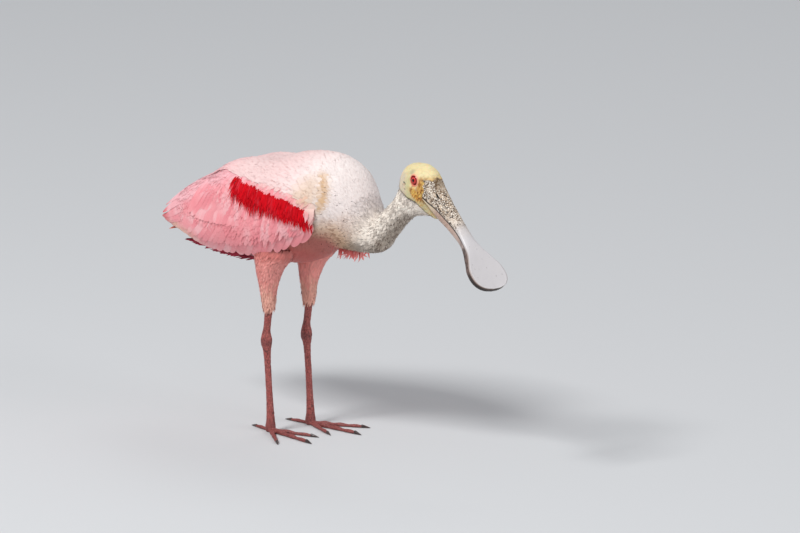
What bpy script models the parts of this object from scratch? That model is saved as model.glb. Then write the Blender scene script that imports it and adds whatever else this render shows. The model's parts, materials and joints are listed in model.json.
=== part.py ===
"""A roseate spoonbill at life size, a still model: it stands on both feet and leans down to feed.

Lengths are in millimetres and become metres when a mesh is made. The bird faces +X, its left is
+Y, and it stands on z = 0. The body, neck and head are one sweep of ribs, which thin flat cuts
divide into the torso, three lengths of neck and the head.
"""

import math
import random

import bmesh
import bpy
import numpy as np

# Driving dimensions, in millimetres
MM = 0.001
GAP = 0.3  # between two pieces that touch
TRIM = 0.4  # between the torso and what is trimmed to fit it
CENTRE_X = 84.3  # from the legs to the middle of the bird's length

# Ribs of the body from the tail's root to the bill's root:
# top x, top z, bottom x, bottom z, half width, fullness of the curve, how much wider the top is
RIBS = [
    (-157, 263, -171, 229, 15, 2.0, 0.0),  # tail's root, over the coverts below it
    (-142, 290, -148, 217, 31, 2.0, 0.0),
    (-106, 319, -110, 214, 44, 2.0, 0.0),
    (-60, 347, -60, 216, 53, 2.1, 0.0),
    (-10, 364, -10, 219, 57, 2.1, 0.0),
    (40, 371, 30, 222, 58, 2.1, 0.05),  # highest part of the back
    (82, 374, 62, 232, 58, 2.1, 0.08),
    (113, 367, 84, 245, 54, 2.0, 0.1),  # shoulders
    (137, 354, 103, 252, 46, 2.0, 0.05),
    (158, 333, 128, 254, 35, 2.0, 0.0),
    (173, 312, 157, 256, 26.5, 2.0, 0.0),
    (181, 306, 186, 261.5, 21.5, 2.0, 0.0),  # lowest bend of the neck
    (188, 312, 204, 278.5, 18, 2.0, 0.0),
    (205, 326, 226, 300.5, 16.8, 2.0, 0.0),
    (221, 341, 245, 315.5, 17, 2.0, 0.0),
    (229, 357, 259, 320.5, 17.5, 2.0, 0.0),
    (233, 374, 267, 322, 18.5, 2.0, 0.1),  # nape
    (245, 385.5, 273, 323, 19.5, 2.0, 0.2),
    (261, 389.8, 278, 323.5, 20, 2.0, 0.25),  # crown
    (278, 387.8, 285, 323, 18.5, 2.0, 0.25),
    (291, 380, 295, 321.5, 14.5, 2.0, 0.2),  # forehead
    (299, 366, 303, 321.5, 10.5, 2.0, 0.1),
    (302, 350, 307, 327, 6, 2.0, 0.0),  # inside the bill
]
TORSO_END, NECK_LOWER_END, NECK_MIDDLE_END, NECK_UPPER_END = 7.4, 10.3, 12.8, 15.4

# The bill, measured along its ridge from the forehead: distance, half width, depth of the mouth
# line below the ridge, depth of the underside below the ridge
RIDGE_START = (293.6, 376.0)
RIDGE_PITCH = 48.0  # degrees below level
RIDGE_TURN = 2.0  # degrees to the bird's left
BILL = [
    (0, 13.5, 25.5, 35.0),
    (18, 12.6, 23.5, 33.0),
    (35, 11.4, 18.6, 30.5),
    (52, 10.4, 14.2, 25.5),
    (68, 9.9, 9.8, 20.0),
    (84, 10.0, 7.0, 16.0),
    (100, 11.4, 5.6, 12.8),
    (113, 15.0, 4.8, 10.8),
    (125, 20.6, 4.2, 9.4),
    (137, 26.8, 3.8, 8.4),
    (148, 28.4, 3.4, 7.6),
    (157, 27.0, 3.1, 6.9),
    (164, 22.5, 2.8, 6.2),
    (168.5, 15.5, 2.5, 5.6),
    (171, 6.0, 2.2, 5.0),
]
BASE_RAKE = 0.62  # how far the bill's root plane leans from square to the ridge, at the mouth line
NOSTRIL_AT, NOSTRIL_LENGTH, NOSTRIL_WIDTH = 23.0, 6.5, 1.8
NOSTRIL_BELOW, NOSTRIL_OUT = 6.0, 10.5

# Eyes
EYE_AT = (271.3, 12.2, 370.4)
EYE_RADIUS = 8.5
LID_RING, LID_THICK, LID_OUT = 6.3, 1.5, 19.2
EAR_AT, EAR_RADIUS = (251.5, 19.2, 361), 2.4

# Legs, for the left side
HIP = (12, 36, 250)
KNEE = (5, 36, 232)
THIGH_MIDDLE = (1, 35, 214)
THIGH_LOW = (-1, 34, 190)
THIGH_END = (-1, 33.5, 166)
ANKLE = (-6, 33.4, 118)
FOOT_JOINT = (2, 33.4, 10)
ANKLE_BELOW, KNOB_ABOVE = 10.0, 8.0  # how far the two joints reach along the bone between them
TOES = [  # angle from straight ahead, length, thickness at the root, joints
    (5, 84, 7.0, 3),
    (-19, 64, 6.4, 2),
    (33, 72, 6.4, 3),
    (187, 36, 5.6, 1),
]
CLAW_LENGTH = 9.0
WEB_THICK = 0.8

# Tail
TAIL_BELOW = 14.0  # the root's middle below the top of the torso's flat end
TAIL_END = (-228, 0, 231)
TAIL_HALF = 18.0
TAIL_FEATHERS, TAIL_VANE, TAIL_STACK = 12, 12.0, 4.6

# Breast tuft, hanging between these two ribs of the neck
TUFT_FROM, TUFT_TO = 8.3, 9.5
TUFT_LOCKS, TUFT_LENGTH = 9, 13.0

# Folded wings, from tip to wrist, as ribs of the form they lie on: top x, top z, bottom x,
# bottom z, half width, fullness; the wing's upper and lower edge as shares of the rib's length
# from top to bottom; and the wing's thickness
FOLD = [
    (-240, 248, -236, 241, 9, 2.0, 0.12, 0.8, 2.5),
    (-222, 261, -218, 235, 21, 2.1, 0.08, 0.68, 3.5),
    (-190, 284, -184, 227, 35, 2.3, 0.06, 0.76, 4.5),
    (-150, 305, -145, 219, 47, 2.5, 0.06, 0.84, 6.0),
    (-105, 323, -102, 217, 55, 2.6, 0.09, 0.84, 7.5),
    (-60, 346, -60, 219, 60, 2.6, 0.15, 0.83, 9.0),
    (-10, 361, -10, 221, 62, 2.6, 0.2, 0.83, 10.5),
    (40, 367, 34, 226, 61, 2.5, 0.24, 0.83, 10.5),
    (82, 369, 66, 236, 57, 2.4, 0.28, 0.78, 9.0),
    (113, 361, 92, 250, 51, 2.2, 0.34, 0.66, 6.5),
    (136, 346, 112, 262, 42, 2.0, 0.4, 0.54, 4.0),
]
WING_BACK, WING_FRONT = 2.5, 9.5  # the ribs between which the wing's flesh and roots lie
VANE_THICK, TIP_THICK = 1.3, 0.5

# Tiers of feathers on a folded wing, innermost first. Where the first and the last root lie on
# the flank (x, z); the first and last angle, from 0 straight back to 90 straight down; the
# bend towards the back; first and last length; width; share of the wing's thickness that they
# lie at; how many; how pointed they are
TIERS = {
    "primaries": ((-48, 248), (-114, 268), (3, 7), 0, (172, 157), 17, 0.10, 5, 0.75),
    "secondaries": ((100, 300), (-92, 300), (64, 44), 8, (62, 84), 27, 0.30, 10, 0.35),
    "tertials": ((-48, 316), (-88, 328), (24, 3), 3, (184, 152), 25, 0.48, 6, 0.5),
    "greater_coverts": ((100, 310), (-96, 306), (68, 42), 8, (38, 62), 26, 0.58, 9, 0.35),
    "scapulars": ((-34, 332), (-66, 336), (18, 1), 3, (114, 92), 26, 0.70, 4, 0.45),
    "median_coverts": ((98, 316), (-80, 320), (72, 46), 8, (26, 44), 23, 0.80, 8, 0.45),
    "lesser_coverts": ((100, 321), (-34, 338), (76, 40), 6, (26, 44), 19, 0.97, 7, 0.8),
}
CORE_SHARE = 0.8  # how much of the wing's depth the core takes up, from its upper edge
CORE_SINK = 5.0  # how deep the core would reach into the torso, which then trims it to fit
CORE_PROFILE = (0.35, 0.85, 1.05, 0.95, 0.7, 0.42, 0.12)  # its thickness from upper to lower edge
TILT = 0.085  # slope of each vane across its width, so that it clears the next


def spline(rows, u):
    """A smooth curve through the rows, with row k at u = k."""
    rows = np.asarray(rows, float)
    rows = np.vstack([2 * rows[0] - rows[1], rows, 2 * rows[-1] - rows[-2]])
    i = int(min(max(math.floor(u), 0), len(rows) - 4))
    f = u - i
    a, b, c, d = rows[i : i + 4]
    return b + 0.5 * f * (c - a + f * (2 * a - 5 * b + 4 * c - d + f * (3 * (b - c) + d - a)))


def oval(row, count, grow=0.0):
    """The points of one rib, an oval between its top and bottom points."""
    top, bottom, half, power = row[0:2], row[2:4], row[4] + grow, row[5]
    wider = row[6] if len(row) > 6 else 0.0
    middle = (top + bottom) / 2
    up = (top - bottom) / 2
    up = up * (1 + grow / np.linalg.norm(up))
    angle = np.arange(count) * math.tau / count
    c = np.sign(np.cos(angle)) * np.abs(np.cos(angle)) ** (2 / power)
    s = np.sign(np.sin(angle)) * np.abs(np.sin(angle)) ** (2 / power)
    flat = middle + c[:, None] * up
    return np.column_stack([flat[:, 0], half * s * (1 + wider * c), flat[:, 1]])


def closed_mesh(name, rings):
    """A closed mesh through rings of equal length, with flat ends."""
    bm = bmesh.new()
    rows = [[bm.verts.new(np.asarray(p) * MM) for p in ring] for ring in rings]
    count = len(rows[0])
    for a, b in zip(rows, rows[1:]):
        for i in range(count):
            j = (i + 1) % count
            bm.faces.new((a[i], a[j], b[j], b[i]))
    bm.faces.new(rows[0][::-1])
    bm.faces.new(rows[-1])
    bmesh.ops.triangulate(bm, faces=bm.faces, quad_method="FIXED")
    bmesh.ops.recalc_face_normals(bm, faces=bm.faces)
    mesh = bpy.data.meshes.new(name)
    bm.to_mesh(mesh)
    bm.free()
    return mesh


def material(name, colour, roughness, metallic=0.0):
    """A plain finish in one colour."""
    made = bpy.data.materials.get(name)
    if made is None:
        made = bpy.data.materials.new(name)
        made.use_nodes = True
        shader = made.node_tree.nodes["Principled BSDF"]
        shader.inputs["Base Color"].default_value = (*colour, 1.0)
        shader.inputs["Roughness"].default_value = roughness
        shader.inputs["Metallic"].default_value = metallic
    return made


def place(name, mesh, finish, centre):
    """A named piece of the bird, smooth but for its sharp edges."""
    piece = bpy.data.objects.new(name, mesh)
    bpy.context.scene.collection.objects.link(piece)
    piece.parent = centre
    piece.data.materials.clear()
    piece.data.materials.append(finish)
    piece.data.shade_smooth()
    piece.data.set_sharp_from_angle(angle=math.radians(40))
    return piece


def helper(name, mesh):
    """A cutter or a shape that is fused into a piece."""
    made = bpy.data.objects.new(name, mesh)
    bpy.context.scene.collection.objects.link(made)
    made.hide_render = True
    made.display_type = "WIRE"
    return made


def boolean(mesh, others, operation, solver="EXACT"):
    """A mesh joined with, or cut by, the other meshes in one step."""
    base = helper("base", mesh)
    group = bpy.data.collections.new("others")
    for k, other in enumerate(others):
        tool = helper(f"other_{k}", other)
        bpy.context.scene.collection.objects.unlink(tool)
        group.objects.link(tool)
    bpy.context.scene.collection.children.link(group)
    step = base.modifiers.new("step", "BOOLEAN")
    step.operation = operation
    step.solver = solver
    step.operand_type = "COLLECTION"
    step.collection = group
    bpy.context.view_layer.update()
    seen = base.evaluated_get(bpy.context.evaluated_depsgraph_get())
    result = largest(bpy.data.meshes.new_from_object(seen))
    for tool in list(group.objects):
        bpy.data.objects.remove(tool)
    bpy.data.collections.remove(group)
    bpy.data.objects.remove(base)
    return result


def largest(mesh):
    """Only the largest closed surface of a mesh."""
    bm = bmesh.new()
    bm.from_mesh(mesh)
    bmesh.ops.triangulate(bm, faces=bm.faces)
    seen, best = set(), []
    for start in bm.verts:
        if start in seen:
            continue
        island, queue = [], [start]
        seen.add(start)
        while queue:
            vertex = queue.pop()
            island.append(vertex)
            for edge in vertex.link_edges:
                other = edge.other_vert(vertex)
                if other not in seen:
                    seen.add(other)
                    queue.append(other)
        if len(island) > len(best):
            best = island
    keep = set(best)
    bmesh.ops.delete(bm, geom=[v for v in bm.verts if v not in keep], context="VERTS")
    bm.to_mesh(mesh)
    bm.free()
    return mesh


def sweep(name, start, end, step, count, grow=0.0):
    """A length of the body between two ribs, its flat ends half a gap clear of the cuts."""
    places = list(np.arange(start, end - 0.5 * step, step)) + [end]
    rings = [oval(spline(RIBS, u), count, grow) for u in places]
    for k, inward in ((0, 1), (-1, -1)):
        at = min(max(places[k], 0.05), len(RIBS) - 1.05)
        ahead, behind = spline(RIBS, at + 0.05), spline(RIBS, at - 0.05)
        along = (ahead[0:2] + ahead[2:4]) - (behind[0:2] + behind[2:4])
        rib = spline(RIBS, places[k])
        across = rib[0:2] - rib[2:4]
        normal = np.array([across[1], -across[0]]) / np.linalg.norm(across)
        normal = normal * np.sign(normal @ along)
        move = normal * (inward * GAP / 2)
        rings[k] = rings[k] + np.array([move[0], 0, move[1]])
    return closed_mesh(name, rings)


def stack(name, path, radii, across=(0, 1, 0), fore=(1, 0, 0), count=14):
    """Ovals on the points of a path, each with its radii along the two directions given."""
    angle = np.arange(count) * math.tau / count
    rings = []
    for centre, (wide, deep) in zip(path, radii):
        oval_points = np.outer(np.cos(angle) * wide, across) + np.outer(np.sin(angle) * deep, fore)
        rings.append(np.asarray(centre, float) + oval_points)
    return closed_mesh(name, rings)


def ball(name, centre, radius, stretch=(1, 1, 1), segments=16):
    """A ball, or an egg where the stretch differs by axis."""
    bm = bmesh.new()
    bmesh.ops.create_uvsphere(bm, u_segments=segments, v_segments=5 * segments // 8, radius=radius * MM)
    for vertex in bm.verts:
        for axis in range(3):
            vertex.co[axis] = vertex.co[axis] * stretch[axis] + centre[axis] * MM
    bmesh.ops.triangulate(bm, faces=bm.faces)
    mesh = bpy.data.meshes.new(name)
    bm.to_mesh(mesh)
    bm.free()
    return mesh


def mirrored(mesh, name):
    """The same shape on the other side of the bird."""
    bm = bmesh.new()
    bm.from_mesh(mesh)
    for vertex in bm.verts:
        vertex.co.y = -vertex.co.y
    bmesh.ops.reverse_faces(bm, faces=bm.faces)
    made = bpy.data.meshes.new(name)
    bm.to_mesh(made)
    bm.free()
    return made


def bill_frame():
    """Where the bill's ridge starts, the way it runs, and the way up from it."""
    pitch, turn = math.radians(RIDGE_PITCH), math.radians(RIDGE_TURN)
    start = np.array([RIDGE_START[0], 0.0, RIDGE_START[1]])
    left = np.array([-math.sin(turn), math.cos(turn), 0.0])
    forward = np.array([left[1], -left[0], 0.0])
    along = forward * math.cos(pitch) - np.array([0, 0, math.sin(pitch)])
    up = np.cross(along, left)
    return start, along, left, up


def bill_ring(u, upper, grow=0.0, count=11):
    """One section of a mandible: an arch over the flat of the mouth line."""
    start, along, left, up = bill_frame()
    distance, half, mouth, under = spline(BILL, u)
    half = half + grow
    shrink = 1.0 if upper else 0.93
    angle = np.linspace(-math.pi / 2, math.pi / 2, count)
    across = half * shrink * np.sin(angle)
    rise = np.cos(angle) ** 0.85
    if upper:
        level = -mouth - grow + (mouth + 2 * grow) * rise
    else:
        level = grow - (mouth + GAP) - (under - mouth - GAP + 2 * grow) * rise
    rake = BASE_RAKE * max(0.0, 1 - distance / 60) ** 1.5
    forward = distance - level * rake
    return start + np.outer(forward, along) + np.outer(across, left) + np.outer(level, up)


def mandible(name, upper, grow=0.0, end=len(BILL) - 1):
    """The upper or the lower half of the bill, from its root to the tip of the spoon."""
    places = np.arange(0, end + 0.25, 0.5)
    rings = [bill_ring(u, upper, grow) for u in places]
    if grow:
        rings[0] = rings[0] - bill_frame()[1] * grow
    return closed_mesh(name, rings)


def nostril_cutter(name, side):
    """A slit through the side of the bill's ridge."""
    start, along, left, up = bill_frame()
    middle = start + along * (NOSTRIL_AT + 4) - up * NOSTRIL_BELOW + left * side * NOSTRIL_OUT
    ends = [middle - along * NOSTRIL_LENGTH / 2, middle, middle + along * NOSTRIL_LENGTH / 2]
    radii = [(5, 0.3), (5, NOSTRIL_WIDTH / 2), (5, 0.3)]
    return stack(name, ends, radii, left, up, count=8)


def flank(u, v, height):
    """A point on the left side of the folded wings' form, at rib u and share v down that rib."""
    full = oval(spline(FOLD, u)[:6], 96, height)[:49]
    steps = np.linalg.norm(np.diff(full, axis=0), axis=1)
    run = np.concatenate([[0.0], np.cumsum(steps)]) / steps.sum()
    point = np.array([np.interp(v, run, full[:, k]) for k in range(3)])
    point[1] = max(point[1], 0.8)
    return point


def on_flank(x, z):
    """The rib and the share down it of the flank's point with this x and z."""
    middles = [(row[0] + row[2]) / 2 for row in FOLD]
    u = float(np.interp(x, middles, np.arange(len(FOLD))))
    shares = np.linspace(0.02, 0.98, 97)
    heights = np.array([flank(u, v, 0.0)[2] for v in shares])
    return u, float(np.interp(-z, -heights, shares))


def fold_ring(u, low, high, count, grow):
    """Points down the left flank of the folded wings' form, from share low to share high."""
    return np.array([flank(u, v, grow) for v in np.linspace(low, high, count)])


def lens(name, rows):
    """A thin closed blade through rows of left, top, right and low points, alike on both faces."""
    bm = bmesh.new()
    rows = [[bm.verts.new(np.asarray(p) * MM) for p in row] for row in rows]
    for (left, top, right, low), (next_left, next_top, next_right, next_low) in zip(rows, rows[1:]):
        for middle, next_middle in ((top, next_top), (low, next_low)):
            for edge, next_edge in ((left, next_left), (right, next_right)):
                bm.faces.new((edge, middle, next_middle))
                bm.faces.new((edge, next_middle, next_edge))
    for left, top, right, low in (rows[0], rows[-1]):
        bm.faces.new((left, top, low))
        bm.faces.new((right, low, top))
    bmesh.ops.recalc_face_normals(bm, faces=bm.faces)
    mesh = bpy.data.meshes.new(name)
    bm.to_mesh(mesh)
    bm.free()
    return mesh


def outline(t, pointed):
    """Share of its full width that a feather has at t, from its root at 0 to its tip at 1."""
    round_tip = math.sqrt(max(0.0, 1 - ((t - 0.55) / 0.46) ** 2)) if t > 0.55 else 1.0
    slim_tip = 1.0 if t < 0.3 else 1 - 0.92 * ((t - 0.3) / 0.7) ** 1.4
    form = (1 - pointed) * round_tip + pointed * slim_tip
    return max(0.08, (0.55 + 0.45 * min(1.0, t / 0.25)) * form)


def vane(name, root, angle, bend, length, width, share, pointed, segments):
    """One feather of a wing, following the flank at a share of the wing's thickness."""
    u, v = root
    step = length / segments
    rows = []
    for k in range(segments + 1):
        t = k / segments
        turn = math.radians(angle - bend * t)
        here = flank(u, v, 0.0)
        per_u = np.linalg.norm(flank(u + 0.05, v, 0.0) - here) / 0.05
        per_v = np.linalg.norm(flank(u, v + 0.02, 0.0) - here) / 0.02
        half = width / 2 * outline(t, pointed)
        thick = VANE_THICK + (TIP_THICK - VANE_THICK) * t
        level = 0.7 + share * spline(FOLD, u)[8] * min(1.0, 0.3 + t / 0.3)
        across_u, across_v = math.sin(turn) / per_u, math.cos(turn) / per_v
        row = []
        for offset, lift in ((-half, 0.0), (0.0, thick / 2), (half, 0.0), (0.0, -thick / 2)):
            height = level + lift + offset * TILT
            row.append(flank(u + offset * across_u, v + offset * across_v, height))
        rows.append(row)
        u = u - math.cos(turn) * step / per_u
        v = v + math.sin(turn) * step / per_v
    return lens(name, rows)


def tier(name, first, last, angles, bend, lengths, width, share, count, pointed):
    """A row of overlapping vanes, each a little unlike the next."""
    draw = random.Random(name)
    vanes = []
    for k in range(count):
        t = k / (count - 1)
        root = on_flank(first[0] + (last[0] - first[0]) * t, first[1] + (last[1] - first[1]) * t)
        angle = angles[0] + (angles[1] - angles[0]) * t + draw.uniform(-1.2, 1.2)
        length = (lengths[0] + (lengths[1] - lengths[0]) * t) * draw.uniform(0.97, 1.03)
        segments = 3 if length < 75 else 4
        vanes.append(vane(name, root, angle, bend, length, width, share, pointed, segments))
    return vanes


def wing_core(name):
    """The flesh and the feathers' roots, thick at the forearm and thin where the vanes lie free."""
    rings = []
    for u in np.linspace(WING_BACK, WING_FRONT, 11):
        low, high, thick = spline(FOLD, u)[6:9]
        high = low + (high - low) * CORE_SHARE
        taper = min(1.0, 0.1 + (u - WING_BACK) / 2.0, 0.25 + (WING_FRONT - u) / 1.2)
        shares = np.linspace(0, 1, 7)
        inner = fold_ring(u, low, high, 7, 0.2 - CORE_SINK * min(1.0, (u - WING_BACK) / 1.2))
        outer = [
            flank(u, low + 0.01 + (high - low - 0.02) * t, 0.8 + thick * profile * taper)
            for t, profile in zip(shares, CORE_PROFILE)
        ]
        rings.append(np.vstack([inner, outer[::-1]]))
    return closed_mesh(name, rings)


def feathered_wing():
    """A folded left wing, its tiers of vanes rooted in the core."""
    vanes = [mesh for key, row in TIERS.items() for mesh in tier(key, *row)]
    return boolean(wing_core("wing_core"), vanes, "UNION")


def tail_root():
    """The middle of the tail's root, on the flat end of the torso, and the way up that flat."""
    top, bottom = np.array(RIBS[0][0:2], float), np.array(RIBS[0][2:4], float)
    up = (top - bottom) / np.linalg.norm(top - bottom)
    back = np.array([-up[1], up[0]])
    middle = top - up * TAIL_BELOW + back * GAP / 2
    return np.array([middle[0], 0, middle[1]]), np.array([up[0], 0, up[1]])


def tail_form(name, share, grow=0.0):
    """The tail's outer form, from its root to a share of its length."""
    root, up = tail_root()
    end = np.array(TAIL_END) - (grow, 0, 0)
    path, radii = [root], [(12 + grow, 6 + grow)]
    for t, wide, deep in ((0.4, 15, 3), (1.0, TAIL_HALF, 3.2)):
        if t <= share:
            path.append(root + (end - root) * t)
            radii.append((wide + grow, deep + grow))
    return stack(name, path, radii, fore=up, count=16)


def feathered_tail():
    """A closed fan of tail feathers, the middle pair on top and each outer one lower."""
    root, up = tail_root()
    end = np.array(TAIL_END)
    left = np.array([0.0, 1.0, 0.0])
    feathers = []
    for k in range(TAIL_FEATHERS):
        place_across = (2 * k + 1 - TAIL_FEATHERS) / (TAIL_FEATHERS - 1)
        drop = abs(place_across) * TAIL_STACK
        rows = []
        for t in (0.06, 0.5, 0.86, 1.0):
            middle = root + (end - root) * t * (1 - 0.05 * abs(place_across))
            middle = middle + left * place_across * (6 + (TAIL_HALF - 6 - TAIL_VANE / 2) * t)
            middle = middle + up * (TAIL_STACK / 2 - drop) * (0.4 + 0.6 * t)
            half = TAIL_VANE / 2 * outline(t, 0.2)
            slope = up * -math.copysign(0.12, place_across)
            lift = up * (VANE_THICK + (TIP_THICK - VANE_THICK) * t) / 2
            edge = (left + slope) * half
            rows.append([middle - edge, middle + lift, middle + edge, middle - lift])
        feathers.append(lens(f"tail_{k}", rows))
    return boolean(tail_form("tail_core", 0.4), feathers, "UNION")


def tuft():
    """Tapered locks that hang from the breast where the neck begins."""
    draw = random.Random("tuft")
    locks = []
    for k in range(TUFT_LOCKS):
        t = (k + 0.5) / TUFT_LOCKS
        bottom = spline(RIBS, TUFT_FROM + (TUFT_TO - TUFT_FROM) * t)[2:4]
        root = np.array([bottom[0], (k % 3 - 1) * 7 + draw.uniform(-2, 2), bottom[1] + 5.0])
        way = np.array([draw.uniform(-0.3, 0.1), draw.uniform(-0.15, 0.15), -1.0])
        length = 6.0 + TUFT_LENGTH * draw.uniform(0.75, 1.1)
        turn = draw.uniform(-0.5, 0.9)
        across_way = np.array([math.sin(turn), math.cos(turn), 0.0])
        lift_way = np.array([math.cos(turn), -math.sin(turn), 0.0])
        rows = []
        for share, half in ((0.0, 3.4), (0.45, 4.2), (0.8, 2.4), (1.0, 0.5)):
            middle = root + way * length * share - np.array([3.0 * share * share, 0, 0])
            across = across_way * half
            lift = lift_way * (1.5 - 1.1 * share)
            rows.append([middle - across, middle + lift, middle + across, middle - lift])
        locks.append(lens(f"lock_{k}", rows))
    return locks


def lid_ring(name, side):
    """The raised rim of the lids round one eye."""
    centre = np.array([EYE_AT[0], side * LID_OUT, EYE_AT[2]])
    out = np.array([0.06, side, 0.12])
    out = out / np.linalg.norm(out)
    front = np.cross((0, 0, side), out)
    front = front / np.linalg.norm(front)
    up = np.cross(out, front)
    bm = bmesh.new()
    rows = []
    for a in np.arange(12) * math.tau / 12:
        around = front * math.cos(a) * LID_RING + up * math.sin(a) * (LID_RING + 0.6)
        way = around / np.linalg.norm(around)
        row = []
        for b in np.arange(5) * math.tau / 5:
            rim = way * math.cos(b) + out * math.sin(b)
            row.append(bm.verts.new((centre + around + rim * LID_THICK) * MM))
        rows.append(row)
    for a, b in zip(rows, rows[1:] + rows[:1]):
        for i in range(5):
            bm.faces.new((a[i], a[(i + 1) % 5], b[(i + 1) % 5], b[i]))
    bmesh.ops.triangulate(bm, faces=bm.faces)
    bmesh.ops.recalc_face_normals(bm, faces=bm.faces)
    mesh = bpy.data.meshes.new(name)
    bm.to_mesh(mesh)
    bm.free()
    return mesh


def wing_room(name):
    """All that lies outside the folded wing's inner face, as a cutter for the thigh."""
    rings = []
    for u in np.linspace(0.0, WING_FRONT, 24):
        low, high = spline(FOLD, u)[6:8]
        inner = fold_ring(u, low, high + 0.02, 11, 0.2 - GAP)
        outer = fold_ring(u, low, high - 0.1, 11, 25.0)
        rings.append(np.vstack([inner, outer[::-1]]))
    return closed_mesh(name, rings)


def thigh(name):
    """The feathered part of the left leg."""
    path = [HIP, KNEE, THIGH_MIDDLE, THIGH_LOW, THIGH_END]
    radii = [(15, 30), (16, 27), (16, 19.5), (11.5, 12.5), (8.5, 9)]
    return stack(name, path, radii, count=16)


def shank(name):
    """The bare part above the ankle, and the ankle."""
    top, low = np.array(THIGH_END) - (0, 0, GAP), np.array(ANKLE)
    path = [top, top * 0.4 + low * 0.6, low + (0, 0, 12), low + (0, 0, 2), low - (0, 0, 5)]
    path.append(low + (1, 0, -ANKLE_BELOW))
    return stack(name, path, [(4.8, 5.2), (4.4, 4.8), (4.8, 5.6), (6.5, 8.0), (6.3, 7.6), (5.0, 6.0)])


def tarsus(name):
    """The long bone of the foot, between the ankle and the toes."""
    top = np.array(ANKLE) + (1, 0, -ANKLE_BELOW - GAP)
    low = np.array(FOOT_JOINT) + (0, 0, KNOB_ABOVE + GAP)
    path = [top, top * 0.85 + low * 0.15, top * 0.3 + low * 0.7, low]
    return stack(name, path, [(5.0, 6.0), (4.0, 4.6), (3.9, 4.6), (5.2, 5.4)])


def toe(name, angle, length, thick, joints):
    """One toe with its claw, flat below, swelling at each joint."""
    turn = math.radians(angle)
    way = np.array([math.cos(turn), math.sin(turn), 0.0])
    side = np.array([-way[1], way[0], 0.0])
    sections = []
    for t in np.linspace(0, 1, 2 * joints + 2):
        swell = 1 + 0.16 * math.cos(t * (2 * joints + 1) * math.pi)
        half = thick / 2 * (1 - 0.38 * t) * swell
        sections.append((t * length, half, half * 1.7))
    for t in (0.35, 1.0):
        half = thick / 2 * 0.55 * (1 - 0.8 * t)
        sections.append((length + t * CLAW_LENGTH, half, half * 2.1))
    sole = np.array([FOOT_JOINT[0], FOOT_JOINT[1], 0.0])
    round_top = np.linspace(-0.28, 1.28, 6) * math.pi
    rings = []
    for run, half, high in sections:
        across = half * np.cos(round_top)
        height = np.maximum(high * (0.42 + 0.58 * np.sin(round_top)), 0.0)
        rings.append(sole + way * run + np.outer(across, side) + np.outer(height, (0, 0, 1)))
    return closed_mesh(name, rings)


def web(name, first, second):
    """The small web between two toes at their roots."""
    sole = np.array([FOOT_JOINT[0], FOOT_JOINT[1], 0.0])
    ends = []
    for angle, length in (first[:2], second[:2]):
        turn = math.radians(angle)
        ends.append(sole + 0.3 * length * np.array([math.cos(turn), math.sin(turn), 0.0]))
    notch = sole + 0.62 * ((ends[0] + ends[1]) / 2 - sole)
    edge = [sole, ends[0], notch, ends[1]]
    lift = np.array([0, 0, WEB_THICK])
    return closed_mesh(name, [[p + lift for p in edge], [p + 2 * lift for p in edge]])


def foot(name):
    """Four toes round the joint above them, fused, with small webs between the front ones."""
    toes = [toe(f"toe_{k}", *row) for k, row in enumerate(TOES)]
    joint = np.array(FOOT_JOINT)
    levels = [joint * (1, 1, 0), joint - (0, 0, 5), joint + (0, 0, KNOB_ABOVE)]
    knob = stack("knob", levels, [(6.5, 7.5), (6.5, 7.0), (5.2, 5.4)], count=12)
    webs = [web("web_a", TOES[0], TOES[1]), web("web_b", TOES[0], TOES[2])]
    return boolean(knob, toes + webs, "UNION")


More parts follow.
